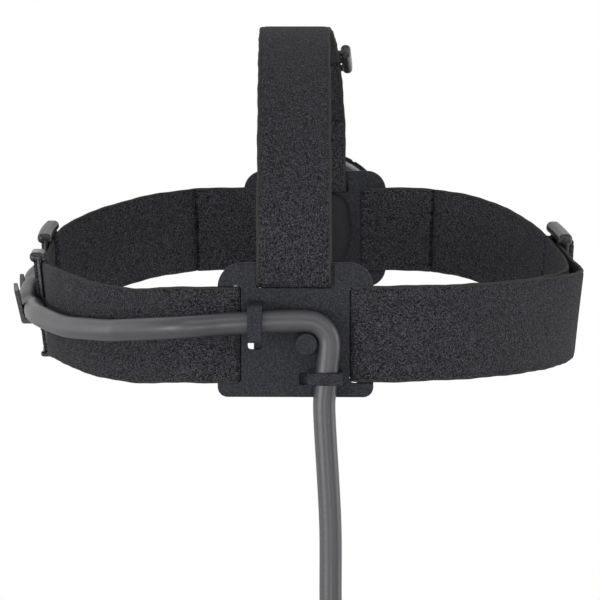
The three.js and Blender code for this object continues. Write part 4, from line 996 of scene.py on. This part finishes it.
def stitches(name, line, stations, rows, side=1, length=1.9, gap=0.9):
    """Sewn rows, each from one (u, v) to another, sunk into the outer face of a strap."""
    points, faces, sections, sides, thread = [], [], 7, 6, 0.2
    for (u0, v0), (u1, v1) in rows:
        run = hypot(u1 - u0, v1 - v0)
        count = max(1, round(run / (length + gap)))
        for i in range(count):
            a = (i + gap / 2 / (length + gap)) / count
            b = (i + 1 - gap / 2 / (length + gap)) / count
            start = len(points)
            for j in range(sections):
                t = j / (sections - 1)
                u, v = u0 + (u1 - u0) * (a + (b - a) * t), v0 + (v1 - v0) * (a + (b - a) * t)
                size = thread * sqrt(max(1 - (2 * t - 1) ** 2 * 0.96, 0))
                rise = outer_height(stations, u) + 0.07 - 0.16 * (2 * t - 1) ** 2
                nx, ny = -(v1 - v0) / run, (u1 - u0) / run
                for angle in round_angles(sides):
                    points.append(line.put(u + nx * size * cos(angle), v + ny * size * cos(angle),
                                           rise + size * sin(angle), side))
            faces += skin(sections, sides, start)
            faces.append(tuple(start + k for k in range(sides)))
            faces.append(tuple(start + (sections - 1) * sides + k for k in range(sides)))
    mounted(piece(name, face_out(to_mesh(name, points, faces)), THREAD), "headset", [])


def box_stitch(u0, u1, half):
    return [((u0, -half), (u0, half)), ((u1, half), (u1, -half)), ((u0, half), (u1, half)),
            ((u1, -half), (u0, -half)), ((u0, -half), (u1, half)), ((u0, half), (u1, -half))]


for name, line, stations, side in (("seam_left", left_line, left_stations, 1),
                                   ("seam_right", right_line, right_stations, -1)):
    tail = line.length - MIDDLE - TAIL
    stitches(name, line, stations, box_stitch(tail + 2, tail + 10, 9.5), side=side)
tail = top_line.length - (FRONT_TOP - CROWN_END) - TAIL
stitches("seam_top", top_line, crown_stations, box_stitch(tail + 6, tail + 13, 7))


# ---------- moulded plates
def slotted_plate(size, z):
    """A plate lying flat, its back on the strap layer, with slots and sunk bars. z is the slots' middle."""
    back, face = LAYER, LAYER + size.thickness
    base = slab(plate_outline(size.width, size.height, size.top, size.low), back, face)
    base = softened(base, 0.55, 3)
    inner, outer, high = SLOT.inner, SLOT.inner + SLOT.width, SLOT.height / 2
    low = face - SLOT.recess
    slot_top = size.height / 2 - SLOT.drop
    cuts = []
    for side in (1, -1):
        x0, x1 = sorted((side * inner, side * outer))
        cuts.append(("-", brick((x0, z - high, back - 1), (x1, z + high, face + 1),
                                SLOT.corner)))
        x0, x1 = sorted((side * (outer - THICK), side * size.width))
        cuts.append(("-", brick((x0, z - high, low), (x1, z + high, face + 2))))
    half = SLOT.top / 2
    cuts.append(("-", brick((-half, slot_top - SLOT.width, back - 1), (half, slot_top, face + 1), 1.0)))
    cuts.append(("-", brick((-half, slot_top - THICK, low), (half, size.height, face + 2))))
    return worked(base, *cuts)


def hook(outline, width, centre, across):
    """A hook drawn from the side: [reach along the plate, height off its face] corners, made wide."""
    side = softened(slab([tuple(p) for p in outline], -width / 2, width / 2), 0.32, 2)
    turn = (lambda p: Vector((centre + p.z, p.x, p.y))) if across == "x" else (
        lambda p: Vector((p.x, centre + p.z, p.y)))
    return remapped(side, turn)


def rear_plate():
    face = LAYER + REAR.thickness
    reach = CORD_OFF + CORD / 2 + GAP
    far = reach + HOOK_WALL
    top, tip, root, end = LEVEL_HOOK.top, LEVEL_HOOK.tip, LOW_HOOK.root, LOW_HOOK.tip
    # Each hook stands over a window in the plate. The thin floor laid across each window, the whole of the
    # lower one and part of the level one, is painted shade: a sheet of the plate's plastic put where the
    # window shows only shade.
    through, floor = (LAYER - 1, face + 1), (LAYER, LAYER + 0.6)
    plate = worked(
        slotted_plate(REAR, SLOT.z - REAR.z),
        ("-", brick((8.95, -5.2, through[0]), (12.7, top - HOOK_WALL, through[1]), 0.9)),
        ("-", brick((root + HOOK_WALL, -14.6, through[0]), (-1.0, -11.3, through[1]), 0.8)),
        # Painted shade: thin sheets across the windows stand in for the shade seen through them.
        ("+", brick((8.5, -5.6, floor[0]), (11.1, 7.2, floor[1]))),
        ("+", brick((-11.8, -14.9, floor[0]), (-0.6, -11.0, floor[1]))))
    plate = softened(plate, 0.2, 2, 50)
    foot = face - 0.5
    level = rounded_line([(top - HOOK_WALL, foot), (top, foot), (top - 0.15, face + 0.6), (top - 1.0, far),
                          (tip, far), (tip, reach), (top - HOOK_WALL - 1.0, reach)], 0.55, 5, closed=True)
    low = rounded_line([(root, foot), (root, far), (end, far), (end, reach), (root + HOOK_WALL, reach),
                        (root + HOOK_WALL, foot)], 0.75, 6, closed=True)
    peg = turned("z", disc(POST.radius, -0.5, POST.height), 64, 0.5)
    return worked(plate, ("+", hook(level, LEVEL_HOOK.width, LEVEL_HOOK.x, "x")),
                  ("+", hook(low, LOW_HOOK.width, LOW_HOOK.z, "y")),
                  ("+", moved(peg, (POST.x, POST.z, face))))


fitted("plate_rear", at_rear(rear_plate()), MOULDED, "headset", ["rear_plate"])


def screw_holes(low, high):
    """The two holes that fix the yoke, as cuts."""
    size, spacing = YOKE_SCREW.hole, YOKE_SCREW.spacing
    return [("-", rod("z", size, low, high, (0, side * spacing, 0), 32)) for side in (1, -1)]


def front_plate():
    face = LAYER + FRONT.thickness
    plate = softened(slotted_plate(FRONT, 0.0), 0.14, 2, 50)
    outline = plate_outline(STAND.width, STAND.height, STAND.corner, STAND.corner)
    stand = softened(slab(outline, face - 0.5, face + STAND.reach), 0.35, 3)
    return worked(plate, ("+", stand), *screw_holes(LAYER + 1.4, face + 4))


fitted("plate_front", at_front(front_plate()), MOULDED, "headset", ["front_plate"])


def pad():
    """Soft pad with drawn-in sides, a crowned face towards the head, and rows of dimples."""
    work = bmesh.new()
    nx, ny = 22, 23
    half_x, half_y, thick, high = 11.0, 11.5, 2.4, LAYER - GAP
    edge_thick, deepest, dimple_rows = 0.35, 0.22, 3.5
    points = []
    for i in range(nx + 1):
        for j in range(ny + 1):
            x, y = -1 + 2 * i / nx, -1 + 2 * j / ny
            pull = sqrt(max(1 - 0.36 * min(x * x, y * y), 0.3))
            points.append((x * half_x * pull, y * half_y * pull, x, y))
    top = []
    for x, y, sx, sy in points:
        edge = max(abs(sx), abs(sy))
        rise = 1 - max(0.0, (edge - 0.6) / 0.4) ** 3
        rows = cos(sx * dimple_rows * pi) * cos(sy * dimple_rows * pi)
        depth = edge_thick + (thick - edge_thick) * rise - deepest * max(0.0, rows) ** 2 * rise
        top.append(work.verts.new((x, y, high - depth)))
    under = [work.verts.new((x, y, high)) for x, y, _, _ in points]
    work.verts.ensure_lookup_table()

    def at(i, j):
        return i * (ny + 1) + j
    for i in range(nx):
        for j in range(ny):
            quad = (at(i, j), at(i + 1, j), at(i + 1, j + 1), at(i, j + 1))
            work.faces.new([top[k] for k in quad])
            work.faces.new([under[k] for k in reversed(quad)])
    rim = [at(i, 0) for i in range(nx)] + [at(nx, j) for j in range(ny)]
    rim += [at(i, ny) for i in range(nx, 0, -1)] + [at(0, j) for j in range(ny, 0, -1)]
    for a, b in zip(rim, rim[1:] + rim[:1]):
        work.faces.new((top[a], top[b], under[b], under[a]))
    mesh = bpy.data.meshes.new("pad")
    work.to_mesh(mesh)
    work.free()
    return at_front(mesh)


cushion = fitted("pad_forehead", pad(), FOAM, "headset", ["forehead_pad"], weighted=False)


# ---------- slides and buckles
def three_bars(length, base, webbing, tall=3.0, low=1.5, shift=0.0):
    """A ladder slide: rounded rails along both edges of the webbing, and three bars between them."""
    under, over = 0.6, 4.8
    back, face = base - LAYER + under + shift, base - LAYER + over + shift
    edge = webbing / 2 + GAP
    result = None
    for rail, y in ((tall, edge + tall / 2), (low, -edge - low / 2)):
        end = slab(plate_outline(length, rail, rail * 0.45, rail * 0.45, 8), back, face)
        end = moved(softened(end, min(rail * 0.48, 1.6), 8, 50), (0, y, 0))
        result = end if result is None else worked(result, ("+", end))
    for place in (-1, 0, 1):
        x = place * (length - BAR) / 2
        bar = brick((x - BAR / 2, -edge - low / 2, base), (x + BAR / 2, edge + tall / 2, base + BAR_THICK))
        result = worked(result, ("+", softened(bar, 0.5, 3)))
    return result


def j_hook(tip):
    """Open hook on a slide's rear bar: back, foot, and a leaning outer wall with a slanted tip."""
    base, inner = THICK + 0.05, THICK + 0.6
    foot, wall = -CORD / 2 - GAP, 1.2
    near, far = 7.8, 9.0
    outline = rounded_line([(CORD / 2, base), (foot - wall, base), (foot - wall, near + wall - 0.2),
                            (tip, far + wall), (tip, far), (foot, near), (foot, inner), (CORD / 2, inner)],
                           0.9, 6, closed=True)
    half = HOOK_WIDTH / 2
    body = slab([tuple(p) for p in outline], -half, half)
    slope = slab([(tip + 1, -half - 1), (tip + 1, half + 1), (tip - 2.4, half + 1), (tip + 0.1, -half - 1)],
                 near, far + wall + 1)
    slope = remapped(slope, lambda p: Vector((p.x, p.z, -p.y)))
    body = softened(worked(body, ("-", slope)), 0.3, 3)
    start = -SLIDE / 2 + BAR
    neck = softened(brick((start - HOOK_NECK - 0.8, foot - wall + 0.2, base + 0.05),
                          (start - 0.4, CORD / 2 - 0.2, base + 1.0)), 0.3, 2)
    return neck, remapped(body, lambda p: Vector((HOOK + p.z, p.x, p.y)))


def cable_slide(tip):
    neck, body = j_hook(tip)
    return worked(three_bars(SLIDE, LAYER, BAND), ("+", neck), ("+", body))


fitted("slide_left", laid(cable_slide(7.2), left_line, slide_u, lean=SLIDE_LEAN), GLOSSY, "headset",
       ["left_cable_slide"])
fitted("slide_front", laid(cable_slide(4.2), left_line, front_u), GLOSSY, "headset",
       ["front_cable_slide"])
fitted("buckle_right", laid(three_bars(BUCKLE, 2 * LAYER, BAND, 3.5, 1.8, -0.8), right_line, right_u, -1),
       GLOSSY, "headset", ["right_buckle"])
fitted("buckle_top", laid(three_bars(SLIDE, LAYER, STRAP), top_line, crown_u), GLOSSY,
       "headset", ["top_buckle"])


# ---------- bracket and pivots
YOKE_BACK = LAYER + FRONT.thickness + STAND.reach + GAP
YOKE_FACE = YOKE_BACK + YOKE.thick
YOKE_OUT = YOKE.inside + YOKE.thick
YOKE_HALF = YOKE.height / 2
EAR = YOKE.inside - DISC.thickness - 2 * GAP
GRIP = YOKE.thick + DISC.thickness + 2 * GAP + PIVOT_SCREW.grip


def yoke():
    """A bent strip with round ends, drawn from above and made tall."""
    inside, outside, bend = YOKE.inside, YOKE_OUT, YOKE.bend
    tip, at, thick = YOKE_FACE + YOKE.reach, YOKE_FACE + bend, bend + YOKE.thick
    outline = [(-outside, tip), (-outside, at),
               *arc(-outside + thick, at, thick, 180, 270), *arc(outside - thick, at, thick, -90, 0),
               (outside, tip), (inside, tip), *arc(inside - bend, at, bend, 0, -90),
               *arc(-inside + bend, at, bend, -90, -180), (-inside, tip)]
    strip = remapped(slab(outline, -YOKE_HALF, YOKE_HALF), lambda p: Vector((p.x, p.z, p.y)))
    ends = [("+", rod("x", YOKE_HALF, *sorted((side * inside, side * outside)), (0, 0, tip), 64))
            for side in (1, -1)]
    body = softened(worked(strip, *ends), 0.4, 3, 40)
    pivot = rod("x", PIVOT_SCREW.hole, -outside - 1, outside + 1, (0, 0, tip), 48)
    return worked(body, ("-", pivot), *screw_holes(YOKE_BACK - 1, YOKE_FACE + 1))


fitted("bracket", at_front(yoke()), BRACKET, "headset", ["yoke"])


def socket_screw(axis, size, reach):
    head, length, shank = size.head, size.length, size.shank
    body = turned(axis, [(0, -reach), (shank, -reach), (shank, 0), (head, 0), (head, length), (0, length)],
                  64, 0.4)
    return worked(body, ("-", turned(axis, disc(head * 0.5, length * 0.4, length + 1), 6, 0)))


def facing(mesh, side):
    """The mesh as drawn for side 1, and turned half round the upright axis for side -1."""
    return mesh if side > 0 else remapped(mesh, lambda p: Vector((-p.x, -p.y, p.z)))


for place, side in (("upper", 1), ("lower", -1)):
    screw = socket_screw("z", YOKE_SCREW, YOKE_SCREW.reach)
    screw = moved(screw, (0, side * YOKE_SCREW.spacing, YOKE_FACE + GAP))
    fitted(f"screw_{place}", at_front(screw), STEEL, "headset", [f"yoke_screw_{place}"])
for place, side in (("left", 1), ("right", -1)):
    screw = moved(socket_screw("x", PIVOT_SCREW, GRIP), (YOKE_OUT + GAP, 0, 0))
    on_lamp(f"pivot_{place}", facing(screw, side), STEEL, f"pivot_screw_{place}")
    near = EAR + GAP
    washer = turned("x", disc(DISC.outer, near, near + DISC.thickness, PIVOT_SCREW.hole), 64, 0.12)
    on_lamp(f"washer_{place}", facing(washer, side), WASHER, f"pivot_washer_{place}")


# ---------- lamp
AT_BUTTON, AT_GLAND = (0, BUTTON.y, 0), (0, GLAND.y, 0)


def housing():
    radius, rear, front, cavity = LAMP.radius, LAMP.rear, LAMP.front, LAMP.cavity
    root, seat, floor = radius - FIN.depth, LAMP.seat, LAMP.floor
    profile = [(0, rear), (radius - 2.5, rear), (radius, rear - 1.2)]
    for i in range(FIN.count):
        y = rear - 1.5 - FIN.width - i * FIN.pitch
        profile += [(radius, y + 0.8), (root, y + 0.6), (root, y - 0.8), (radius, y - 1.0)]
    profile += [(radius, -front), (LAMP.mouth, -front), (LAMP.mouth, -seat), (cavity, -seat),
                (cavity, floor), (0, floor)]
    body = turned("y", profile, 112, 0.35, closed=False)
    crown = turned("z", disc(BUTTON.boss, cavity - 1, BUTTON.boss_top), 64, 0.8)
    ears = turned("x", disc(YOKE_HALF, -EAR, EAR), 64, 0.4)
    nose = turned("x", disc(GLAND.nose, radius - 2.8, GLAND.end), 48, 0.4)
    body = worked(body, ("+", moved(crown, AT_BUTTON)), ("+", ears), ("+", moved(nose, AT_GLAND)),
                  ("-", rod("y", cavity, -seat - 0.2, floor, sides=112)),
                  ("-", rod("z", BUTTON.bore, 5, BUTTON.boss_top + 1, AT_BUTTON, 64)),
                  ("-", rod("x", GLAND.bore, 10, 40, AT_GLAND, 32)))
    pivots = [("-", rod("x", PIVOT_SCREW.hole, *sorted((side * 17.0, side * 40)), sides=32))
              for side in (1, -1)]
    return worked(body, *pivots)


on_lamp("housing", housing(), ANODISED, "lamp_housing")


def bezel():
    """Screwed ring over the glass, with grip flutes round its rim."""
    inner, outer, front = RING.inner, RING.outer, -RING.front
    ledge, rim, back = GLASS.radius + GAP, -GLASS.front - GAP, -LAMP.front - GAP
    ring = turned("y", [(inner, front + 1), (inner + 1, front), (outer - 0.8, front), (outer, front + 0.8),
                        (outer, back), (ledge, back), (ledge, rim), (inner, rim)], 128, 0.2)
    reach = outer + 0.45
    places = [(reach * cos(a), 0, reach * sin(a)) for a in round_angles(RING.grips)]
    return worked(ring, *[("-", rod("y", RING.grip, -26, -18, place, 20)) for place in places])


on_lamp("bezel_ring", bezel(), ANODISED, "bezel")
glass_back = -GLASS.front + GLASS.thickness
lens = turned("y", disc(GLASS.radius, -GLASS.front, glass_back), 96, 0.3)
on_lamp("lens_disc", lens, CLEAR, "lens")
gasket = turned("y", disc(GLASS.radius, glass_back + GAP, glass_back + GAP + 1, 15.4), 96, 0.4)
on_lamp("gasket", gasket, FOAM, "lens_gasket")


def bowl():
    front, back, outer, throat, lip = -LAMP.seat, -3.0, LAMP.cavity - GAP, 3.4, 1.2
    dish = [(throat + (outer - lip - throat) * t, back - (back - front) * t * t)
            for t in (i / 24 for i in range(1, 25))]
    shell = [(outer, front), (outer, front + 2), (throat + 2, back), (throat, back)]
    return turned("y", shell + dish, 112, 0, closed=True)


def emitter():
    radius, height, flange, face, back = 2.0, 1.7, 2.8, -3.2, -2.85
    dome = [(radius * sin(a), face - height * cos(a))
            for a in (radians(d) for d in range(10, 91, 10))]
    return turned("y", [(0, face - height), *dome, (flange, face), (flange, back), (0, back)], 48, 0)


def button_cap():
    """A flanged cap with a slightly dished top."""
    radius, flange, top, bottom = BUTTON.radius, BUTTON.flange, BUTTON.top, BUTTON.bottom
    cap = turned("z", [(0, bottom), (flange, bottom), (flange, bottom + 1), (radius, bottom + 1),
                       (radius, top), (radius - 1.6, top), (radius - 2, top - 0.4), (0, top - 0.7)], 64, 0.35)
    return moved(cap, AT_BUTTON)


on_lamp("reflector_bowl", bowl(), MIRROR, "reflector")
on_lamp("led_dome", emitter(), PHOSPHOR, "led")
on_lamp("button_cap", button_cap(), PRESSED, "power_button", body="button")


# ---------- gland, boots and connector
NUT_START = GLAND.end + GAP
NUT_END = NUT_START + GLAND.length


def gland_nut():
    """A hexagon with turned corners, on its thread."""
    nut, start, end = GLAND.nut, NUT_START, NUT_END
    rounding = turned("x", [(0, start - 0.1), (nut - 0.7, start - 0.1), (nut + 0.15, start + 0.9),
                            (nut + 0.15, end - 0.9), (nut - 0.7, end + 0.1), (0, end + 0.1)], 64, 0)
    body = worked(turned("x", disc(nut, start, end), 6, 0), ("&", rounding))
    thread = rod("x", GLAND.thread, start - 3.3, start + 0.7)
    bore = rod("x", GLAND.lead, 17, 30, sides=32)
    return moved(worked(softened(body, 0.15, 2, 25), ("+", thread), ("-", bore)), AT_GLAND)


on_lamp("nut_gland", gland_nut(), ANODISED, "gland_nut")


def boot(axis, start, length, wide, narrow, rings=5):
    """A strain relief that tapers in soft ribs to the lead."""
    profile = [(0, start), (wide, start)]
    groove = length * 0.35 / rings
    for i in range(rings):
        near = start + length * (i + 0.45) / rings
        radius = wide + (narrow - wide) * (i + 0.4) / rings
        profile += [(radius, near), (radius - 0.55, near + 0.25), (radius - 0.55, near + groove),
                    (radius - 0.06, near + groove + 0.25)]
    profile += [(narrow - 0.25, start + length), (0, start + length)]
    return turned(axis, profile, 48, 0.2)


relief = moved(boot("x", NUT_END + GAP, BOOT.length, BOOT.wide, BOOT.narrow), AT_GLAND)
on_lamp("boot_gland", relief, PRESSED, "gland_boot")


def on_plug(mesh, height):
    """Hangs a piece of the connector below the lead's end."""
    return moved(mesh, coil[-1] + Vector((0, 0, height - GAP)))


def plug_shell():
    radius, length, bore = PLUG_SIZE.radius, PLUG_SIZE.length, PLUG_SIZE.insert + GAP
    floor = -length + PLUG_SIZE.depth
    profile = [(0, 0), (radius - 0.8, 0), (radius, -0.8)]
    for i in range(6):
        z = -3.6 - i * 1.9
        profile += [(radius, z), (radius - 0.6, z - 0.35), (radius - 0.6, z - 0.75), (radius, z - 1.1)]
    profile += [(radius, -length + 0.6), (radius - 0.6, -length), (bore, -length), (bore, floor), (0, floor)]
    key = brick((-0.9, 4.2, -length - 1), (0.9, 5.4, floor - 0.5))
    return worked(turned("z", profile, 64, 0.2), ("-", key))


def plug_core():
    core = turned("z", disc(PLUG_SIZE.insert, -0.8, PLUG_SIZE.depth - GAP), 64, 0.3)
    pins = [("+", moved(turned("z", disc(PLUG_SIZE.pin, -6, 1), 32, 0.5), (x, 0, 0))) for x in (2.2, -2.2)]
    return worked(core, *pins)


relief_boot = boot("z", -PLUG_SIZE.boot, PLUG_SIZE.boot, PLUG_SIZE.wide, BOOT.narrow)
plug_boot = fitted("boot_plug", on_plug(relief_boot, 0), PRESSED, "headset",
                   ["plug_boot"])
plug_body = fitted("shell_plug", on_plug(plug_shell(), -PLUG_SIZE.boot - GAP), PLUG, "headset",
                   ["plug_body"])
core_height = -PLUG_SIZE.boot - PLUG_SIZE.length - GAP
plug_insert = fitted("core_plug", on_plug(plug_core(), core_height), BRASS, "headset",
                     ["plug_insert"])


def coil_tie():
    """Tape round the coil's bundle, with its free end lapped over itself."""
    angle, half, play = TIE_SIZE.angle, TIE_SIZE.thickness / 2, TIE_SIZE.play
    across = COIL.pitch * 1.5 + CORD + play + 3.4
    deep = COIL.layer + CORD + play
    loop = [Vector(p) for p in plate_outline(across + 1, deep + 1, TIE_SIZE.corner, TIE_SIZE.corner, 8)]
    path = resample(loop + loop[:1], 72)[:-1]
    start, lapped, rise = 20, 16, 0.95
    path = path[start:] + path[:start]
    stations = []
    for i, p in enumerate(path):
        along = (path[(i + 1) % len(path)] - path[i - 1]).normalized()
        stations.append((p, Vector((along.y, -along.x))))
    lap = [(p + n * rise * smooth(i / 4), n) for i, (p, n) in enumerate(stations[:lapped])]
    first, normal = stations[0]
    lap_rings = stations + [(first + normal * rise, normal)] + lap[1:]
    radial = Vector((-cos(angle), 0, sin(angle)))
    along = Vector((sin(angle), 0, cos(angle)))
    centre = COIL_CENTRE + radial * COIL.radius + Vector((0, -COIL.layer / 2, 0))
    edge = TIE_SIZE.width / 2
    upper = [(edge, 0.0), (edge - 0.1, 0.3), (edge - 0.5, half), (0, half), (0.5 - edge, half),
             (0.1 - edge, 0.3)]
    section = upper + [(-v, -t) for v, t in upper]
    rings, uv = [], []
    for i, (p, n) in enumerate(lap_rings):
        flat = [(v, p + n * t) for v, t in section]
        rings.append([centre + radial * q.x + Vector((0, -1, 0)) * q.y + along * v for v, q in flat])
        uv += [(i, v) for v, _ in section]
    thing = mounted(piece("tie_coil", rings_mesh("tie_coil", rings, uv), TIE), "headset", ["coil_tie"])
    return thing


tie = coil_tie()
for name, finish in (("led_board", CERAMIC), ("driver_board", CIRCUIT), ("tact_switch", STEEL)):
    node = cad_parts[name]
    for place in node.material_slots:
        place.material = finish


# ---------- stage
def stage():
    """A pale floor, and a world that is white to the camera, through glass, and in gloss from behind."""
    finish = Finish("floor", (0.86, 0.86, 0.86), 0.7)
    at = finish.place()
    finish.give(colour=finish.blend(finish.noise(at, 3.0), (0.84, 0.84, 0.84), (0.88, 0.88, 0.88)))
    radius, height = 700, -190
    edge = [(radius * cos(a), radius * sin(a), height) for a in round_angles(96)]
    piece("floor", to_mesh("floor", edge, [tuple(range(96))]), finish.material, smoothed=False)

    world = bpy.data.worlds.new("studio")
    bpy.context.scene.world = world
    world.use_nodes = True
    world.node_tree.nodes.clear()
    sky = Nodes(world.node_tree)
    rays = sky.node("LightPath").outputs
    way = sky.node("SeparateXYZ", {0: sky.node("TexCoord").outputs["Generated"]})
    glossy = sky.math("MULTIPLY", rays["Is Glossy Ray"], sky.ranged(way.outputs[1], 0.1, -0.45))
    seen = sky.math("MAXIMUM", rays["Is Camera Ray"], rays["Is Transmission Ray"])
    white = (1, 1, 1, 1)
    dim, bright = (sky.node("Background", {"Color": white, "Strength": strength}) for strength in (0.45, 1.0))
    share = sky.math("MAXIMUM", seen, glossy)
    mix = sky.node("MixShader", {0: share, 1: dim.outputs[0], 2: bright.outputs[0]})
    sky.node("OutputWorld", {"Surface": mix.outputs[0]})


def area_light(name, place, size, power):
    """A soft lamp that looks at the middle of the part."""
    light = bpy.data.lights.new(name, "AREA")
    light.shape = "RECTANGLE"
    light.size, light.size_y = size
    light.energy = power
    thing = linked(name, light)
    thing.location = place
    thing.rotation_euler = (-Vector(place)).to_track_quat("-Z", "Y").to_euler()


def camera():
    data = bpy.data.cameras.new("camera")
    data.sensor_width = 36
    data.lens = 260.8
    data.clip_end = 20
    thing = linked("camera", data)
    thing.location = (-0.0354, 1.25, 0.0846)
    thing.rotation_euler = Vector((0.0297, -1, -0.06588)).to_track_quat("-Z", "Y").to_euler()
    bpy.context.scene.camera = thing


# Each lamp's name, place in metres, size and power.
LIGHTS = [
    ("above", (0.05, 0.8, 0.95), (0.8, 0.4), 2.2), ("key", (-0.75, 0.9, 0.75), (0.4, 0.4), 2.4),
    ("right", (-1.2, -0.1, 0.2), (0.4, 1.0), 4.5), ("left", (1.15, -0.15, 0.2), (0.35, 1.0), 2.4),
    ("near left", (0.9, 0.9, -0.03), (0.8, 0.22), 6.5), ("near right", (-0.8, 0.95, -0.05), (0.3, 0.25), 1.2),
    ("low", (-0.1, 1.4, -0.19), (0.35, 0.25), 3.0)]
stage()
for light in LIGHTS:
    area_light(*light)
camera()
bpy.context.scene.view_settings.view_transform = "Standard"
